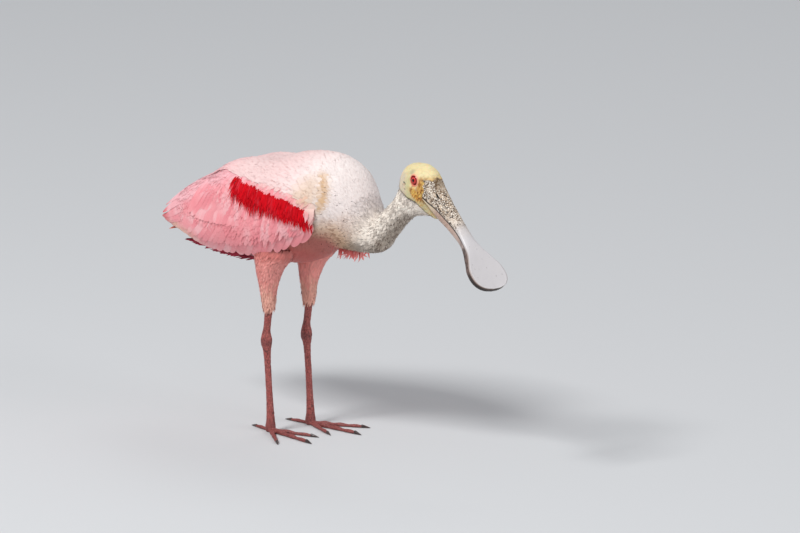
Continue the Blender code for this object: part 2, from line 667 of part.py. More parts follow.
def build():
    """All pieces of the bird, on one empty at the middle of its length."""
    centre = bpy.data.objects.new("spoonbill", None)
    bpy.context.scene.collection.objects.link(centre)
    centre.location = (-CENTRE_X * MM, 0, 0)

    pale_pink = material("pale pink feathers", (0.93, 0.72, 0.69), 0.7)
    pink = material("pink feathers", (0.88, 0.36, 0.38), 0.65)
    off_white = material("off-white feathers", (0.80, 0.74, 0.66), 0.75)
    orange = material("orange tail feathers", (0.85, 0.33, 0.15), 0.65)
    skin = material("yellow-green skin", (0.74, 0.68, 0.34), 0.5)
    horn = material("grey horn", (0.62, 0.58, 0.53), 0.4)
    red = material("red iris", (0.62, 0.04, 0.04), 0.1)
    scaled = material("dark red leg skin", (0.36, 0.13, 0.12), 0.55)

    place("torso", sweep("torso", 0, TORSO_END, 0.6, 30), pale_pink, centre)
    neck_lower = boolean(sweep("neck_lower", TORSO_END, NECK_LOWER_END, 0.5, 26), tuft(), "UNION")
    place("neck_lower", neck_lower, off_white, centre)
    neck_middle = sweep("neck_middle", NECK_LOWER_END, NECK_MIDDLE_END, 0.45, 22)
    place("neck_middle", neck_middle, off_white, centre)
    neck_upper = sweep("neck_upper", NECK_MIDDLE_END, NECK_UPPER_END, 0.5, 22)
    place("neck_upper", neck_upper, off_white, centre)

    bill_root = [mandible("root_upper", True, GAP, 4), mandible("root_lower", False, GAP, 4)]
    eyes = [(EYE_AT[0], s * EYE_AT[1], EYE_AT[2]) for s in (1, -1)]
    sockets = [ball("socket", at, EYE_RADIUS + GAP, segments=14) for at in eyes]
    head = sweep("head", NECK_UPPER_END, len(RIBS) - 1, 0.5, 22)
    ears = [ball("ear", (EAR_AT[0], s * EAR_AT[1], EAR_AT[2]), EAR_RADIUS, (1, 1, 1.4), 8) for s in (1, -1)]
    head = boolean(head, [lid_ring("lids", s) for s in (1, -1)], "UNION")
    head = boolean(head, bill_root + sockets + ears, "DIFFERENCE")
    place("head", head, skin, centre)
    slits = [nostril_cutter("slit", s) for s in (1, -1)]
    upper = boolean(mandible("bill_upper", True), slits, "DIFFERENCE")
    place("bill_upper", upper, horn, centre)
    place("bill_lower", mandible("bill_lower", False), horn, centre)

    around_torso = sweep("torso_room", 0, TORSO_END + 0.6, 0.6, 30, TRIM)
    around_tail = tail_form("tail_room", 1.0, 2 * GAP)
    place("tail", feathered_tail(), orange, centre)
    wing = boolean(feathered_wing(), [around_torso.copy(), around_tail], "DIFFERENCE")
    left_thigh = boolean(thigh("thigh"), [around_torso, wing_room("wing_room")], "DIFFERENCE")
    shapes = {
        "wing": (wing, pink),
        "thigh": (left_thigh, pink),
        "shank": (shank("shank"), scaled),
        "tarsus": (tarsus("tarsus"), scaled),
        "foot": (foot("foot"), scaled),
        "eye": (ball("eye", EYE_AT, EYE_RADIUS, segments=14), red),
    }
    for part, (mesh, finish) in shapes.items():
        place(f"{part}_right", mirrored(mesh, f"{part}_right"), finish, centre)
        place(f"{part}_left", mesh, finish, centre)


for old in list(bpy.data.objects):
    bpy.data.objects.remove(old)
build()
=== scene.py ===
"""The looks of a life-size roseate spoonbill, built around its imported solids.

Shapes are worked out in millimetres, with x measured from the legs towards the bill, y to the
bird's left and z up from the floor, and become metres in the model's own frame when a mesh is made.
"""

import json
import math

import bpy
import numpy as np
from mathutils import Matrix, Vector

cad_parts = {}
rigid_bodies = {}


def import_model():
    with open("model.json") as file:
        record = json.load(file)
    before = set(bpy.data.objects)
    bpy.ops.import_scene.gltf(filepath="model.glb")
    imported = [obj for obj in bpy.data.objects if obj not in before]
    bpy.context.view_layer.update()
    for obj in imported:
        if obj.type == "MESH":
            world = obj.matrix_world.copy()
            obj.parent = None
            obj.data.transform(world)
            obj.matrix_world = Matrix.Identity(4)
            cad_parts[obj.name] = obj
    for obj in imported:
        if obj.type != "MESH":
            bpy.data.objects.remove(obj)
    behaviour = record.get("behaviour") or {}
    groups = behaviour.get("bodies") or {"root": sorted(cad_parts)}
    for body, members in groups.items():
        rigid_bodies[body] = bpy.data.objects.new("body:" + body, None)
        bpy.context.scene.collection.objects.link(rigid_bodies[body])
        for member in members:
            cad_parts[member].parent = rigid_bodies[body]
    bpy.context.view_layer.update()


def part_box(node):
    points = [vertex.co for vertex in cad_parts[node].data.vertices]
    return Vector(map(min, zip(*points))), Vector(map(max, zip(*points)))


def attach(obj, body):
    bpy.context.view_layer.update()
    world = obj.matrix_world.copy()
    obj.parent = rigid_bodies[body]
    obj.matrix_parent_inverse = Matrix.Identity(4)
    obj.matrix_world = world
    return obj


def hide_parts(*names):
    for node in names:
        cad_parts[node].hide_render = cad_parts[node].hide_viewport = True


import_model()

# Place of the bird in the model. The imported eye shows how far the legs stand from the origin.
EYE = np.array([271.3, 12.2, 370.4])
EYE_RADIUS = 8.5
eye_low, eye_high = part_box("eye_left")
TO_MODEL = np.array((eye_low + eye_high) / 2) * 1000 - EYE

# Camera: a long lens far off, on the bird's right and ahead of it, a little above. The photo's
# scale is 1.28 mm to the pixel, and its middle looks at a point between the breast and the bill.
AZIMUTH, ELEVATION = math.radians(50), math.radians(12)
TO_RIGHT = np.array([math.cos(AZIMUTH), math.sin(AZIMUTH), 0])
TO_CAMERA = np.array([
    math.sin(AZIMUTH) * math.cos(ELEVATION),
    -math.cos(AZIMUTH) * math.cos(ELEVATION),
    math.sin(ELEVATION),
])
TO_TOP = np.cross(TO_CAMERA, TO_RIGHT)
DISTANCE, FRAME_WIDTH, SENSOR = 30000, 800 * 1.28, 36
middle = TO_RIGHT * 142.1 + TO_TOP * 207.0 + TO_CAMERA * 150
lens = bpy.data.cameras.new("camera")
lens.sensor_width = SENSOR
lens.lens = SENSOR * DISTANCE / FRAME_WIDTH
lens.clip_end = 100
camera = bpy.data.objects.new("camera", lens)
bpy.context.scene.collection.objects.link(camera)
camera.location = (middle + TO_CAMERA * DISTANCE + TO_MODEL) / 1000
camera.rotation_euler = (math.pi / 2 - ELEVATION, 0, AZIMUTH)
bpy.context.scene.camera = camera
bpy.context.scene.view_settings.view_transform = "Standard"

# Studio: a pale floor, a broad soft lamp high on the camera's left, a weaker one on its right,
# and an even light from all round.
bpy.ops.mesh.primitive_circle_add(vertices=64, radius=40, fill_type="NGON", location=(0, 0, -0.0005))
floor = bpy.context.object
floor.name = "floor"
paper = bpy.data.materials.new("pale floor")
paper.use_nodes = True
paper.node_tree.nodes["Principled BSDF"].inputs["Base Color"].default_value = (0.62, 0.63, 0.64, 1)
paper.node_tree.nodes["Principled BSDF"].inputs["Roughness"].default_value = 0.9
paper.node_tree.nodes["Principled BSDF"].inputs["Specular IOR Level"].default_value = 0.15
floor.data.materials.append(paper)


def lamp(name, right, top, near, size, power):
    """A square area lamp, placed in metres from the bird by the camera's directions."""
    light = bpy.data.lights.new(name, "AREA")
    light.size = size
    light.energy = power
    made = bpy.data.objects.new(name, light)
    bpy.context.scene.collection.objects.link(made)
    level = np.array([TO_CAMERA[0], TO_CAMERA[1], 0]) / math.cos(ELEVATION)
    place = TO_RIGHT * right + np.array([0, 0, top]) + level * near
    made.location = place
    aim = np.array([0, 0, 0.25]) - place
    made.rotation_euler = (math.acos(-aim[2] / np.linalg.norm(aim)), 0, math.atan2(-aim[0], aim[1]))


lamp("key", -3.2, 5.2, 2.8, 1.8, 322)
lamp("fill", 4.6, 2.4, 3.6, 3.0, 112)
lamp("rim", 1.2, 4.6, -3.6, 2.4, 36)
world = bpy.data.worlds.new("studio")
world.use_nodes = True
world.node_tree.nodes["Background"].inputs["Color"].default_value = (0.93, 0.95, 1.0, 1)
world.node_tree.nodes["Background"].inputs["Strength"].default_value = 0.38
bpy.context.scene.world = world

# Body, neck and head: one form through ribs from the tail's root to the bill's. Each rib is an
# oval between a top and a bottom point of the bird's side view:
# top x, top z, bottom x, bottom z, half width, fullness of the curve, how much wider the top is
RIBS = [
    (-157, 263, -171, 229, 15, 2.0, 0.0),
    (-142, 290, -148, 217, 31, 2.0, 0.0),
    (-106, 319, -110, 214, 44, 2.0, 0.0),
    (-60, 347, -60, 216, 53, 2.1, 0.0),
    (-10, 355.5, -10, 219, 57, 2.1, 0.0),
    (40, 370, 30, 222, 58, 2.1, 0.05),
    (82, 374, 62, 232, 58, 2.1, 0.08),
    (113, 367, 84, 245, 54, 2.0, 0.1),
    (137, 354, 103, 252, 46, 2.0, 0.05),
    (158, 333, 128, 254, 35, 2.0, 0.0),
    (173, 312, 157, 256, 26.5, 2.0, 0.0),
    (181, 306, 186, 261.5, 21.5, 2.0, 0.0),
    (188, 312, 204, 278.5, 18, 2.0, 0.0),
    (205, 326, 226, 300.5, 16.8, 2.0, 0.0),
    (221, 341, 245, 315.5, 17, 2.0, 0.0),
    (229, 357, 259, 320.5, 17.5, 2.0, 0.0),
    (233, 374, 267, 322, 18.5, 2.0, 0.1),
    (245, 385.5, 273, 323, 19.5, 2.0, 0.2),
    (261, 389.2, 278, 323.5, 20, 2.0, 0.25),
    (278, 387.8, 285, 323, 17.8, 2.0, 0.22),
    (291, 380, 295, 321.5, 14.0, 2.0, 0.15),
    (299, 366, 303, 321.5, 10.5, 2.0, 0.1),
    (302, 350, 307, 327, 6, 2.0, 0.0),
]
HEAD_START = 15.4  # the rib where feathers end and bare skin begins


def spline(rows, u):
    """A smooth curve through the rows, row k at u = k, for a whole array of u: each stretch is a
    cubic whose slope at a row is half the step from the row before to the row after."""
    rows = np.asarray(rows, float)
    rows = np.vstack([2 * rows[0] - rows[1], rows, 2 * rows[-1] - rows[-2]])
    i = np.clip(np.floor(u).astype(int), 0, len(rows) - 4)
    f = (u - i)[..., None]
    a, b, c, d = (rows[i + k] for k in range(4))
    return b + 0.5 * f * (c - a + f * (2 * a - 5 * b + 4 * c - d + f * (3 * (b - c) + d - a)))


def oval(rib, a):
    """Point at angle a round a rib, from 0 on top to pi/2 on the left: the rib's half axes times
    the cosine and sine of a, each raised to 2/fullness."""
    c = np.sign(np.cos(a)) * np.abs(np.cos(a)) ** (2 / rib[..., 5])
    s = np.sign(np.sin(a)) * np.abs(np.sin(a)) ** (2 / rib[..., 5])
    x = (rib[..., 0] + rib[..., 2]) / 2 + c * (rib[..., 0] - rib[..., 2]) / 2
    z = (rib[..., 1] + rib[..., 3]) / 2 + c * (rib[..., 1] - rib[..., 3]) / 2
    return np.stack([x, rib[..., 4] * s * (1 + rib[..., 6] * c), z], -1)


def body(u, a):
    """Point of the body's form at rib u and angle a."""
    return oval(spline(RIBS, u), a)


def unit(v):
    """The same directions at length one."""
    return v / np.maximum(np.linalg.norm(v, axis=-1, keepdims=True), 1e-9)


def slopes(form, u, v):
    """A form's point at (u, v), its slopes along u and v, and its outward direction."""
    step = 1e-3
    here = form(u, v)
    along = (form(u + step, v) - here) / step
    round_ = (form(u, v + step) - here) / step
    return here, along, round_, unit(np.cross(along, round_))


def blend(a, b, x):
    """0 where x is a or before it, 1 from b on, and a smooth rise between, 3t^2 - 2t^3."""
    t = np.clip((x - a) / (b - a), 0, 1)
    return t * t * (3 - 2 * t)


def lattice(seed):
    """Random numbers on a cube of 32 x 32 x 32 points, which noise and cells repeat."""
    return np.random.default_rng(seed).random((32, 32, 32, 3))


def noise(p, size, seed=0):
    """Smooth noise from -1 to 1: random values on a lattice of the given size in mm, eased
    between the eight corners round each point."""
    table = lattice(seed)[..., 0] * 2 - 1
    q = p / size
    i = np.floor(q).astype(int)
    f = q - i
    f = f * f * (3 - 2 * f)
    total = 0
    for corner in np.ndindex(2, 2, 2):
        weight = np.prod(np.where(corner, f, 1 - f), axis=-1)
        j = (i + corner) % 32
        total = total + weight * table[j[..., 0], j[..., 1], j[..., 2]]
    return total


def cells(p, size, seed=0):
    """Cell pattern: distances to the nearest and the second nearest of the points scattered one
    to a lattice cube, in parts of its size, and a random number for the nearest one."""
    table = lattice(seed)
    q = p / size
    i = np.floor(q).astype(int)
    first = np.full(q.shape[:-1], 9.0)
    second = first.copy()
    which = first * 0
    for corner in np.ndindex(3, 3, 3):
        j = i + np.array(corner) - 1
        spot = table[j[..., 0] % 32, j[..., 1] % 32, j[..., 2] % 32]
        d = np.linalg.norm(j + spot - q, axis=-1)
        nearer = d < first
        second = np.where(nearer, first, np.minimum(second, d))
        which = np.where(nearer, spot[..., 0], which)
        first = np.minimum(first, d)
    return first, second, which


def grid_faces(rows, columns, closed=True):
    """Four-sided faces between neighbouring rows of a grid, wrapping round where it is closed."""
    k = np.arange(rows * columns).reshape(rows, columns)
    if closed:
        k = np.hstack([k, k[:, :1]])
    return np.stack([k[:-1, :-1], k[1:, :-1], k[1:, 1:], k[:-1, 1:]], -1).reshape(-1, 4)


def capped(rings):
    """Points and faces of a closed tube through rings of points, a pole at the middle of each end."""
    count, around = rings.shape[:2]
    points = np.vstack([rings.reshape(-1, 3), rings[0].mean(0), rings[-1].mean(0)])
    turn = np.roll(np.arange(around), -1)
    first, last = np.arange(around), np.arange(around) + (count - 1) * around
    near = np.stack([first, turn, np.full(around, count * around)], -1)
    far = np.stack([last, np.full(around, count * around + 1), last[turn]], -1)
    return points, grid_faces(count, around), np.vstack([near, far])


def mesh_of(name, points, quads, triangles=None):
    """A mesh from arrays of points in mm, four-sided faces and triangles."""
    mesh = bpy.data.meshes.new(name)
    triangles = np.zeros((0, 3), int) if triangles is None else triangles
    corners = np.concatenate([quads.ravel(), triangles.ravel()])
    counts = np.concatenate([np.full(len(quads), 4), np.full(len(triangles), 3)])
    mesh.vertices.add(len(points))
    mesh.vertices.foreach_set("co", ((points + TO_MODEL) / 1000).astype(np.float32).ravel())
    mesh.loops.add(len(corners))
    mesh.loops.foreach_set("vertex_index", corners.astype(np.int32))
    mesh.polygons.add(len(counts))
    starts = np.concatenate([[0], np.cumsum(counts)[:-1]])
    mesh.polygons.foreach_set("loop_start", starts.astype(np.int32))
    mesh.update(calc_edges=True)
    mesh.validate()
    mesh.shade_smooth()
    return mesh


def points_of(mesh):
    """A mesh's points, in mm in the bird's own frame."""
    co = np.empty(len(mesh.vertices) * 3, np.float32)
    mesh.vertices.foreach_get("co", co)
    return co.reshape(-1, 3).astype(float) * 1000 - TO_MODEL


def piece(name, mesh, finish, slot, *nodes):
    """A finished piece of the bird: its mesh, its material and the nodes it stands for; slot is not used."""
    made = bpy.data.objects.new(name, mesh)
    bpy.context.scene.collection.objects.link(made)
    mesh.materials.append(finish)
    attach(made, "root")
    if nodes:
        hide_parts(*nodes)
    return made


def colour(red, green, blue):
    """A colour given as 0 to 255 on a screen, as the light that it stands for."""
    c = np.array([red, green, blue]) / 255
    return np.where(c <= 0.04045, c / 12.92, ((c + 0.055) / 1.055) ** 2.4)


def paint(mesh, colours, name="plumage"):
    """A colour at each point of a mesh, under an attribute that its material reads."""
    layer = mesh.color_attributes.new(name, "FLOAT_COLOR", "POINT")
    rgba = np.ones((len(mesh.vertices), 4), np.float32)
    rgba[:, :3] = colours
    layer.data.foreach_set("color", rgba.ravel())


def mix(a, b, share):
    """From a to b by a share for each point."""
    return a + (np.asarray(b) - a) * np.asarray(share)[..., None]


# Markings of the plumage and of the bare skin, the same on the skin and on the feathers over it
def over_line(p):
    """Height over the line where feathers end, which runs from the nape under the ear and the jaw
    to the throat."""
    line = np.interp(p[..., 0], (225, 234, 241, 248, 256, 271, 283, 292), (366, 359, 352, 349, 344, 340, 327, 318))
    return p[..., 2] - line


def bareness(p):
    """0 where feathers grow and 1 on the bare face."""
    return blend(-1.2, 1.2, over_line(p)) * blend(228, 236, p[..., 0])


def under_neck(p):
    """1 on the underside of the neck and 0 on its top."""
    middle = np.interp(p[..., 0], (110, 157, 183, 196, 215, 233, 245), (276, 284, 284, 295, 313, 328, 336))
    return blend(-8, -21, p[..., 2] - middle + 3 * noise(p, 9, 49)) * blend(104, 150, p[..., 0])


def stripe_top(x):
    """Height of the upper edge of the carmine band on the wing."""
    return np.interp(x, (-34, -10, 25, 77, 102, 111), (337, 333, 328, 322, 311, 300))


def buff(p):
    """Strength of the buff stain at the wing's wrist: a soft patch, and a crescent ahead of it whose
    middle bends back by 0.014 times the square of the height from its centre."""
    x, y, z = p[..., 0], np.abs(p[..., 1]), p[..., 2]
    patch = np.sqrt(((x - 100) / 21) ** 2 + ((z - 332) / 24) ** 2) + 0.25 * noise(p, 12, 2)
    arc = np.exp(-(((x - 122 + 0.014 * (z - 328) ** 2) / 6) ** 2))
    arc = arc * blend(298, 316, z) * blend(364, 348, z)
    return np.maximum(0.46 * blend(1.25, 0.1, patch), 0.8 * arc) * blend(24, 36, y)


def body_colour(p):
    """Pinkish white on the back, cream on the breast, buff at the wrist of the wing, pale and mottled on the neck,
    pink on the belly and crimson under the tail. Painted shade darkens the belly to brownish pink and the curls
    low on the breast with dark brown mottling; the brown-grey under the neck is partly its own tone, partly painted
    shade."""
    x, y, z = p[..., 0], np.abs(p[..., 1]), p[..., 2]
    tone = np.broadcast_to(colour(240, 208, 205), p.shape).copy()
    tone = mix(tone, colour(250, 186, 190), blend(-10, -120, x + 0.3 * (z - 330)))
    tone = mix(tone, colour(240, 228, 224), blend(30, 112, x + 0.2 * (300 - z)))
    low = blend(316, 266, z + 7 * noise(p, 22, 1)) * blend(40, 85, x)
    tone = mix(tone, colour(214, 172, 130), 0.85 * low)
    # Dark brown mottling low on the breast: painted shade between its curled feathers
    tone = mix(tone, colour(142, 94, 70), 0.65 * low * blend(0.1, 0.55, noise(p, 3.4, 38)))
    # Brownish pink over the belly and darker still at its bottom: the belly's pink with painted shade in it
    shaded_belly = blend(288, 262, z + 5 * noise(p, 18, 9)) * blend(140, 104, x)
    tone = mix(tone, colour(182, 104, 94), shaded_belly)
    tone = mix(tone, colour(188, 92, 85), blend(262, 242, z) * blend(92, 62, x))
    tone = mix(tone, colour(204, 156, 90), 0.95 * buff(p))
    neck = blend(150, 185, x + 0.45 * (300 - z))
    tone = mix(tone, colour(255, 243, 230), neck)
    # Brown-grey under the neck: partly its own tone, partly painted shade on its underside
    tone = mix(tone, colour(132, 110, 86), 0.6 * under_neck(p))
    return mix(tone, colour(136, 22, 44), blend(-24, -52, x) * blend(246, 236, z))


def bare_colour(p):
    """Cream yellow on the crown, yellow-green behind the eye, golden orange from the eye to the
    mouth's corner and along the bill's root, pale green on the throat, dark at the nape, with dark
    specks round the ear, and a painted shadow in the crease where feathers start."""
    x, y, z = p[..., 0], np.abs(p[..., 1]), p[..., 2]
    ripple, fine, speck = noise(p, 6, 3), noise(p, 2.6, 33), noise(p, 1.8, 39)
    tone = np.broadcast_to(colour(228, 214, 166), p.shape).copy()
    tone = mix(tone, colour(228, 211, 160), blend(374, 386, z))
    tone = mix(tone, colour(214, 196, 150), 0.5 * blend(0.0, 0.7, ripple))
    tone = mix(tone, colour(186, 164, 118), 0.22 * blend(0.25, 0.0, np.abs(noise(p, 5, 50))))
    tone = mix(tone, colour(172, 164, 136), 0.6 * blend(1.2, 0.3, np.hypot((x - 265) / 6, (z - 380) / 4)))
    tone = mix(tone, colour(204, 196, 148), 0.75 * blend(270, 262, x) * blend(378, 370, z))
    tone = mix(tone, colour(214, 196, 178), 0.7 * blend(259, 251, x + 2 * ripple) * blend(382, 372, z))
    cheek = np.hypot((x - 274 - 0.35 * (352 - z)) / 11.0, (z - 352) / 11.0)
    brow = blend(275, 279, x + ripple) * blend(380, 368, z) * blend(340, 350, z)
    gold = np.maximum(blend(1.3, 0.5, cheek + 0.25 * ripple), 0.9 * brow)
    tone = mix(tone, colour(204, 142, 44), 0.92 * gold)
    tone = mix(tone, colour(132, 70, 20), 0.8 * gold * blend(0.1, 0.4, fine))
    tone = mix(tone, colour(240, 210, 120), 0.5 * gold * blend(-0.15, -0.5, fine))
    throat = blend(347, 336, z + 2 * ripple)
    tone = mix(tone, colour(204, 190, 148), throat * (1 - 0.6 * gold))
    tone = mix(tone, colour(196, 146, 52), 0.7 * throat * blend(0.0, 0.4, noise(p * (1, 1, 2.2), 5, 34)))
    lid = np.hypot(x - EYE[0], (z - EYE[2]) * 0.97)
    tone = mix(tone, colour(236, 160, 132), 0.9 * blend(9.0, 7.4, lid) * (y > 8))
    tone = mix(tone, colour(206, 72, 62), 0.85 * blend(7.2, 6.2, lid) * (y > 8))
    ear = np.hypot((x - 253) / 6, (z - 363) / 9)
    tone = mix(tone, colour(74, 58, 44), 0.8 * blend(1.1, 0.5, ear) * blend(0.2, 0.42, speck) * (y > 8))
    nape = blend(243, 234, x + 0.3 * (z - 360) + 2 * ripple) * blend(384, 376, z)
    tone = mix(tone, colour(96, 66, 58), 0.85 * nape)
    # A painted shadow along the crease where the neck's feathers start
    crease = np.exp(-(((over_line(p) - 0.9) / 2.1) ** 2)) * blend(232, 240, x)
    return mix(tone, colour(52, 36, 28), 0.9 * crease)


# Skin: one closed surface from the tail to the bill. Under feathers it lies in by the depth of the
# coat, and on the head it is bare, with lids, ears and folds worked into it.
COAT = 3.2
LID = 5.9  # radius of the opening between the lids
EAR = np.array([252.5, 18.0, 362.0])
RIDGE = np.array([293.6, 0, 376.0])  # where the bill's ridge starts
pitch, turn = math.radians(48), math.radians(2)
BILL_LEFT = np.array([-math.sin(turn), math.cos(turn), 0])
BILL_ALONG = np.array([BILL_LEFT[1], -BILL_LEFT[0], 0]) * math.cos(pitch) - np.array([0, 0, math.sin(pitch)])
BILL_UP = np.cross(BILL_ALONG, BILL_LEFT)


def bill_root(level):
    """How far along the bill its root lies at a level under the ridge: upright in side view, as
    1.11 is the slope of the bill, and from 11 below the ridge down 17 further back."""
    return -1.11 * level - 17.0 * blend(0, -11, level)


def coat_depth(u, p):
    """How deep the coat is: full on the body, thinner up the neck, none on the bare face."""
    return (COAT + (1.9 - COAT) * blend(7, 12, u)) * (1 - bareness(p))


def sculpt_head(p, out):
    """Head skin with its folds: a lid that rolls round each eye and dips in under it, wrinkles
    that fade away from the eye and the mouth's corner, a pit at each ear, pleats of the throat,
    a crease where the neck's feathers start, and a flat end just inside the bill's root."""
    x, y, z = p[..., 0], p[..., 1], p[..., 2]
    bare = bareness(p)
    r = np.hypot(x - EYE[0], (z - EYE[2]) * 0.97)
    near = np.abs(y) > 8
    cheek = blend(18, 6, np.hypot(x - 276, z - 352))
    fine = (0.26 + 0.3 * cheek) * noise(p, 2.6, 33) + 0.35 * noise(p, 6, 5) - 0.2 * blend(0.25, 0.0, np.abs(noise(p, 5, 50)))
    folds = 0.45 * cheek * np.sin((z - 0.9 * x) * 1.5 + 2.0 * noise(p, 8, 6)) * near
    rings = 0.16 * np.sin(r * 2.4 + 1.5 * noise(p, 6, 6)) * blend(16, 9, r) * near
    pleats = 0.3 * np.sin(np.arctan2(y, 14.0) * 22 + 2 * noise(p, 9, 7)) * blend(342, 330, z)
    crease = -1.0 * bare * (1 - bare) * 4 * blend(232, 244, x)
    ear = np.hypot((x - EAR[0]) / 1.4, (z - EAR[2]) / 2.4)
    pit = (-2.4 * blend(1.3, 0.4, ear) + 0.45 * blend(2.4, 1.4, ear) * blend(0.9, 1.4, ear)) * near
    q = p + out * ((fine + rings + pleats + folds) * bare + crease + pit)[..., None]
    rim = EYE[1] + np.sqrt(EYE_RADIUS**2 - LID**2) + 0.35
    rise = rim + 0.9 * np.exp(-(((r - LID - 0.8) / 0.8) ** 2)) - 0.8 * np.exp(-(((r - LID - 3.0) / 0.9) ** 2))
    side = np.where(r < LID, EYE[1] + 1 + (rim - EYE[1] - 1) * blend(LID - 0.6, LID, r), rise)
    share = blend(LID + 5.0, LID + 1.6, r) * near
    q[..., 1] = q[..., 1] + (np.sign(y) * side - q[..., 1]) * share
    level = (q - RIDGE) @ BILL_UP
    past = (q - RIDGE) @ BILL_ALONG - bill_root(level)
    return q - BILL_ALONG * (np.maximum(past - 1.0, 0) * blend(-34, -30, level))[..., None]


def skin_rings(us, around):
    """Rings of the skin at the ribs us."""
    a = np.arange(around) * math.tau / around
    u, a = np.meshgrid(us, a, indexing="ij")
    here, _, _, out = slopes(body, u, a)
    inset = here - out * coat_depth(u, here)[..., None]
    return np.where((u > 14.8)[..., None], sculpt_head(inset, out), inset)


THIGH = [(18, 36, 250, 15, 38), (11, 36, 232, 16.5, 33), (3, 35, 214, 16, 21), (-1, 34, 190, 11.5, 12.5),
         (-1, 33.5, 166, 8.5, 9)]


def thigh(u, a):
    """Point of the left thigh's form: level ovals round five points from the hip down."""
    row = spline(THIGH, u)
    across, fore = np.sin(a), np.cos(a)
    return np.stack([row[..., 0] + row[..., 4] * fore, row[..., 1] + row[..., 3] * across, row[..., 2]], -1)


def join(mesh, others, operation="UNION"):
    """A mesh joined with others, in one step."""
    base = bpy.data.objects.new("base", mesh)
    bpy.context.scene.collection.objects.link(base)
    group = bpy.data.collections.new("others")
    for other in others:
        group.objects.link(bpy.data.objects.new("other", other))
    step = base.modifiers.new("join", "BOOLEAN")
    step.operation = operation
    step.solver = "EXACT"
    step.operand_type = "COLLECTION"
    step.collection = group
    bpy.context.view_layer.update()
    result = bpy.data.meshes.new_from_object(base.evaluated_get(bpy.context.evaluated_depsgraph_get()))
    for other in list(group.objects):
        bpy.data.objects.remove(other)
    bpy.data.collections.remove(group)
    bpy.data.objects.remove(base)
    return result


us = np.concatenate([np.arange(0, HEAD_START - 0.6, 0.16), np.arange(HEAD_START - 0.6, 22.001, 0.034)])
skin = mesh_of("skin", *capped(skin_rings(us, 224)))
thighs = []
for side in (1, -1):
    a = np.arange(32) * math.tau / 32
    u, a = np.meshgrid(np.linspace(0, 3.97, 22), side * a, indexing="ij")
    rings = thigh(u, a)
    rings = rings + (rings.mean(1, keepdims=True) - rings) * 0.12
    rings[..., 1] *= side
    thighs.append(mesh_of("thigh", *capped(rings)))
skin = join(skin, thighs)
skin.shade_smooth()
spots = points_of(skin)
# Under the feathers the skin is painted at 0.72 of their colour, as the shade under the coat
paint(skin, mix(body_colour(spots) * 0.72, bare_colour(spots), bareness(spots)))


def pore_group():
    """A shader group for bare skin and horn: a fine grain on Object coordinates. It gives the grain
    as a height, and the roughness given, moved by a quarter of the grain about its middle."""
    group = bpy.data.node_groups.new("pores", "ShaderNodeTree")
    for label, way in (("Scale", "INPUT"), ("Roughness", "INPUT"), ("Height", "OUTPUT"), ("Roughness", "OUTPUT")):
        group.interface.new_socket(label, in_out=way, socket_type="NodeSocketFloat")
    nodes, links = group.nodes, group.links
    given, taken = nodes.new("NodeGroupInput"), nodes.new("NodeGroupOutput")
    where = nodes.new("ShaderNodeTexCoord")
    grain = nodes.new("ShaderNodeTexNoise")
    grain.inputs["Detail"].default_value = 3.0
    links.new(where.outputs["Object"], grain.inputs["Vector"])
    links.new(given.outputs["Scale"], grain.inputs["Scale"])
    links.new(grain.outputs[0], taken.inputs["Height"])
    middle = nodes.new("ShaderNodeMath")
    middle.operation = "SUBTRACT"
    middle.inputs[1].default_value = 0.5
    links.new(grain.outputs[0], middle.inputs[0])
    moved = nodes.new("ShaderNodeMath")
    moved.operation = "MULTIPLY_ADD"
    moved.inputs[1].default_value = 0.25
    links.new(middle.outputs[0], moved.inputs[0])
    links.new(given.outputs["Roughness"], moved.inputs[2])
    links.new(moved.outputs[0], taken.inputs["Roughness"])
    return group


def painted(name, roughness, specular):
    """A material whose colour is the one painted on the mesh."""
    made = bpy.data.materials.new(name)
    made.use_nodes = True
    shader = made.node_tree.nodes["Principled BSDF"]
    source = made.node_tree.nodes.new("ShaderNodeAttribute")
    source.attribute_name = "plumage"
    made.node_tree.links.new(source.outputs["Color"], shader.inputs["Base Color"])
    shader.inputs["Roughness"].default_value = roughness
    shader.inputs["Specular IOR Level"].default_value = specular
    return made


def porous(name, roughness, specular, scale, strength, height=0.0004):
    """A painted material with a grain of the given scale, as a bump and as uneven gloss."""
    made = painted(name, roughness, specular)
    nodes, links = made.node_tree.nodes, made.node_tree.links
    grain = nodes.new("ShaderNodeGroup")
    grain.node_tree = pores
    grain.inputs["Scale"].default_value = scale
    grain.inputs["Roughness"].default_value = roughness
    bump = nodes.new("ShaderNodeBump")
    bump.inputs["Strength"].default_value = strength
    bump.inputs["Distance"].default_value = height
    links.new(grain.outputs["Height"], bump.inputs["Height"])
    links.new(bump.outputs[0], nodes["Principled BSDF"].inputs["Normal"])
    links.new(grain.outputs["Roughness"], nodes["Principled BSDF"].inputs["Roughness"])
    return made


pores = pore_group()
hide = porous("skin", 0.5, 0.35, 900.0, 0.6)
hide.node_tree.nodes["Principled BSDF"].inputs["Subsurface Weight"].default_value = 0.12
hide.node_tree.nodes["Principled BSDF"].inputs["Subsurface Scale"].default_value = 0.002
piece("skin", skin, hide, "bare_head_skin", "torso", "neck_lower", "neck_middle", "neck_upper", "head",
      "thigh_left", "thigh_right")


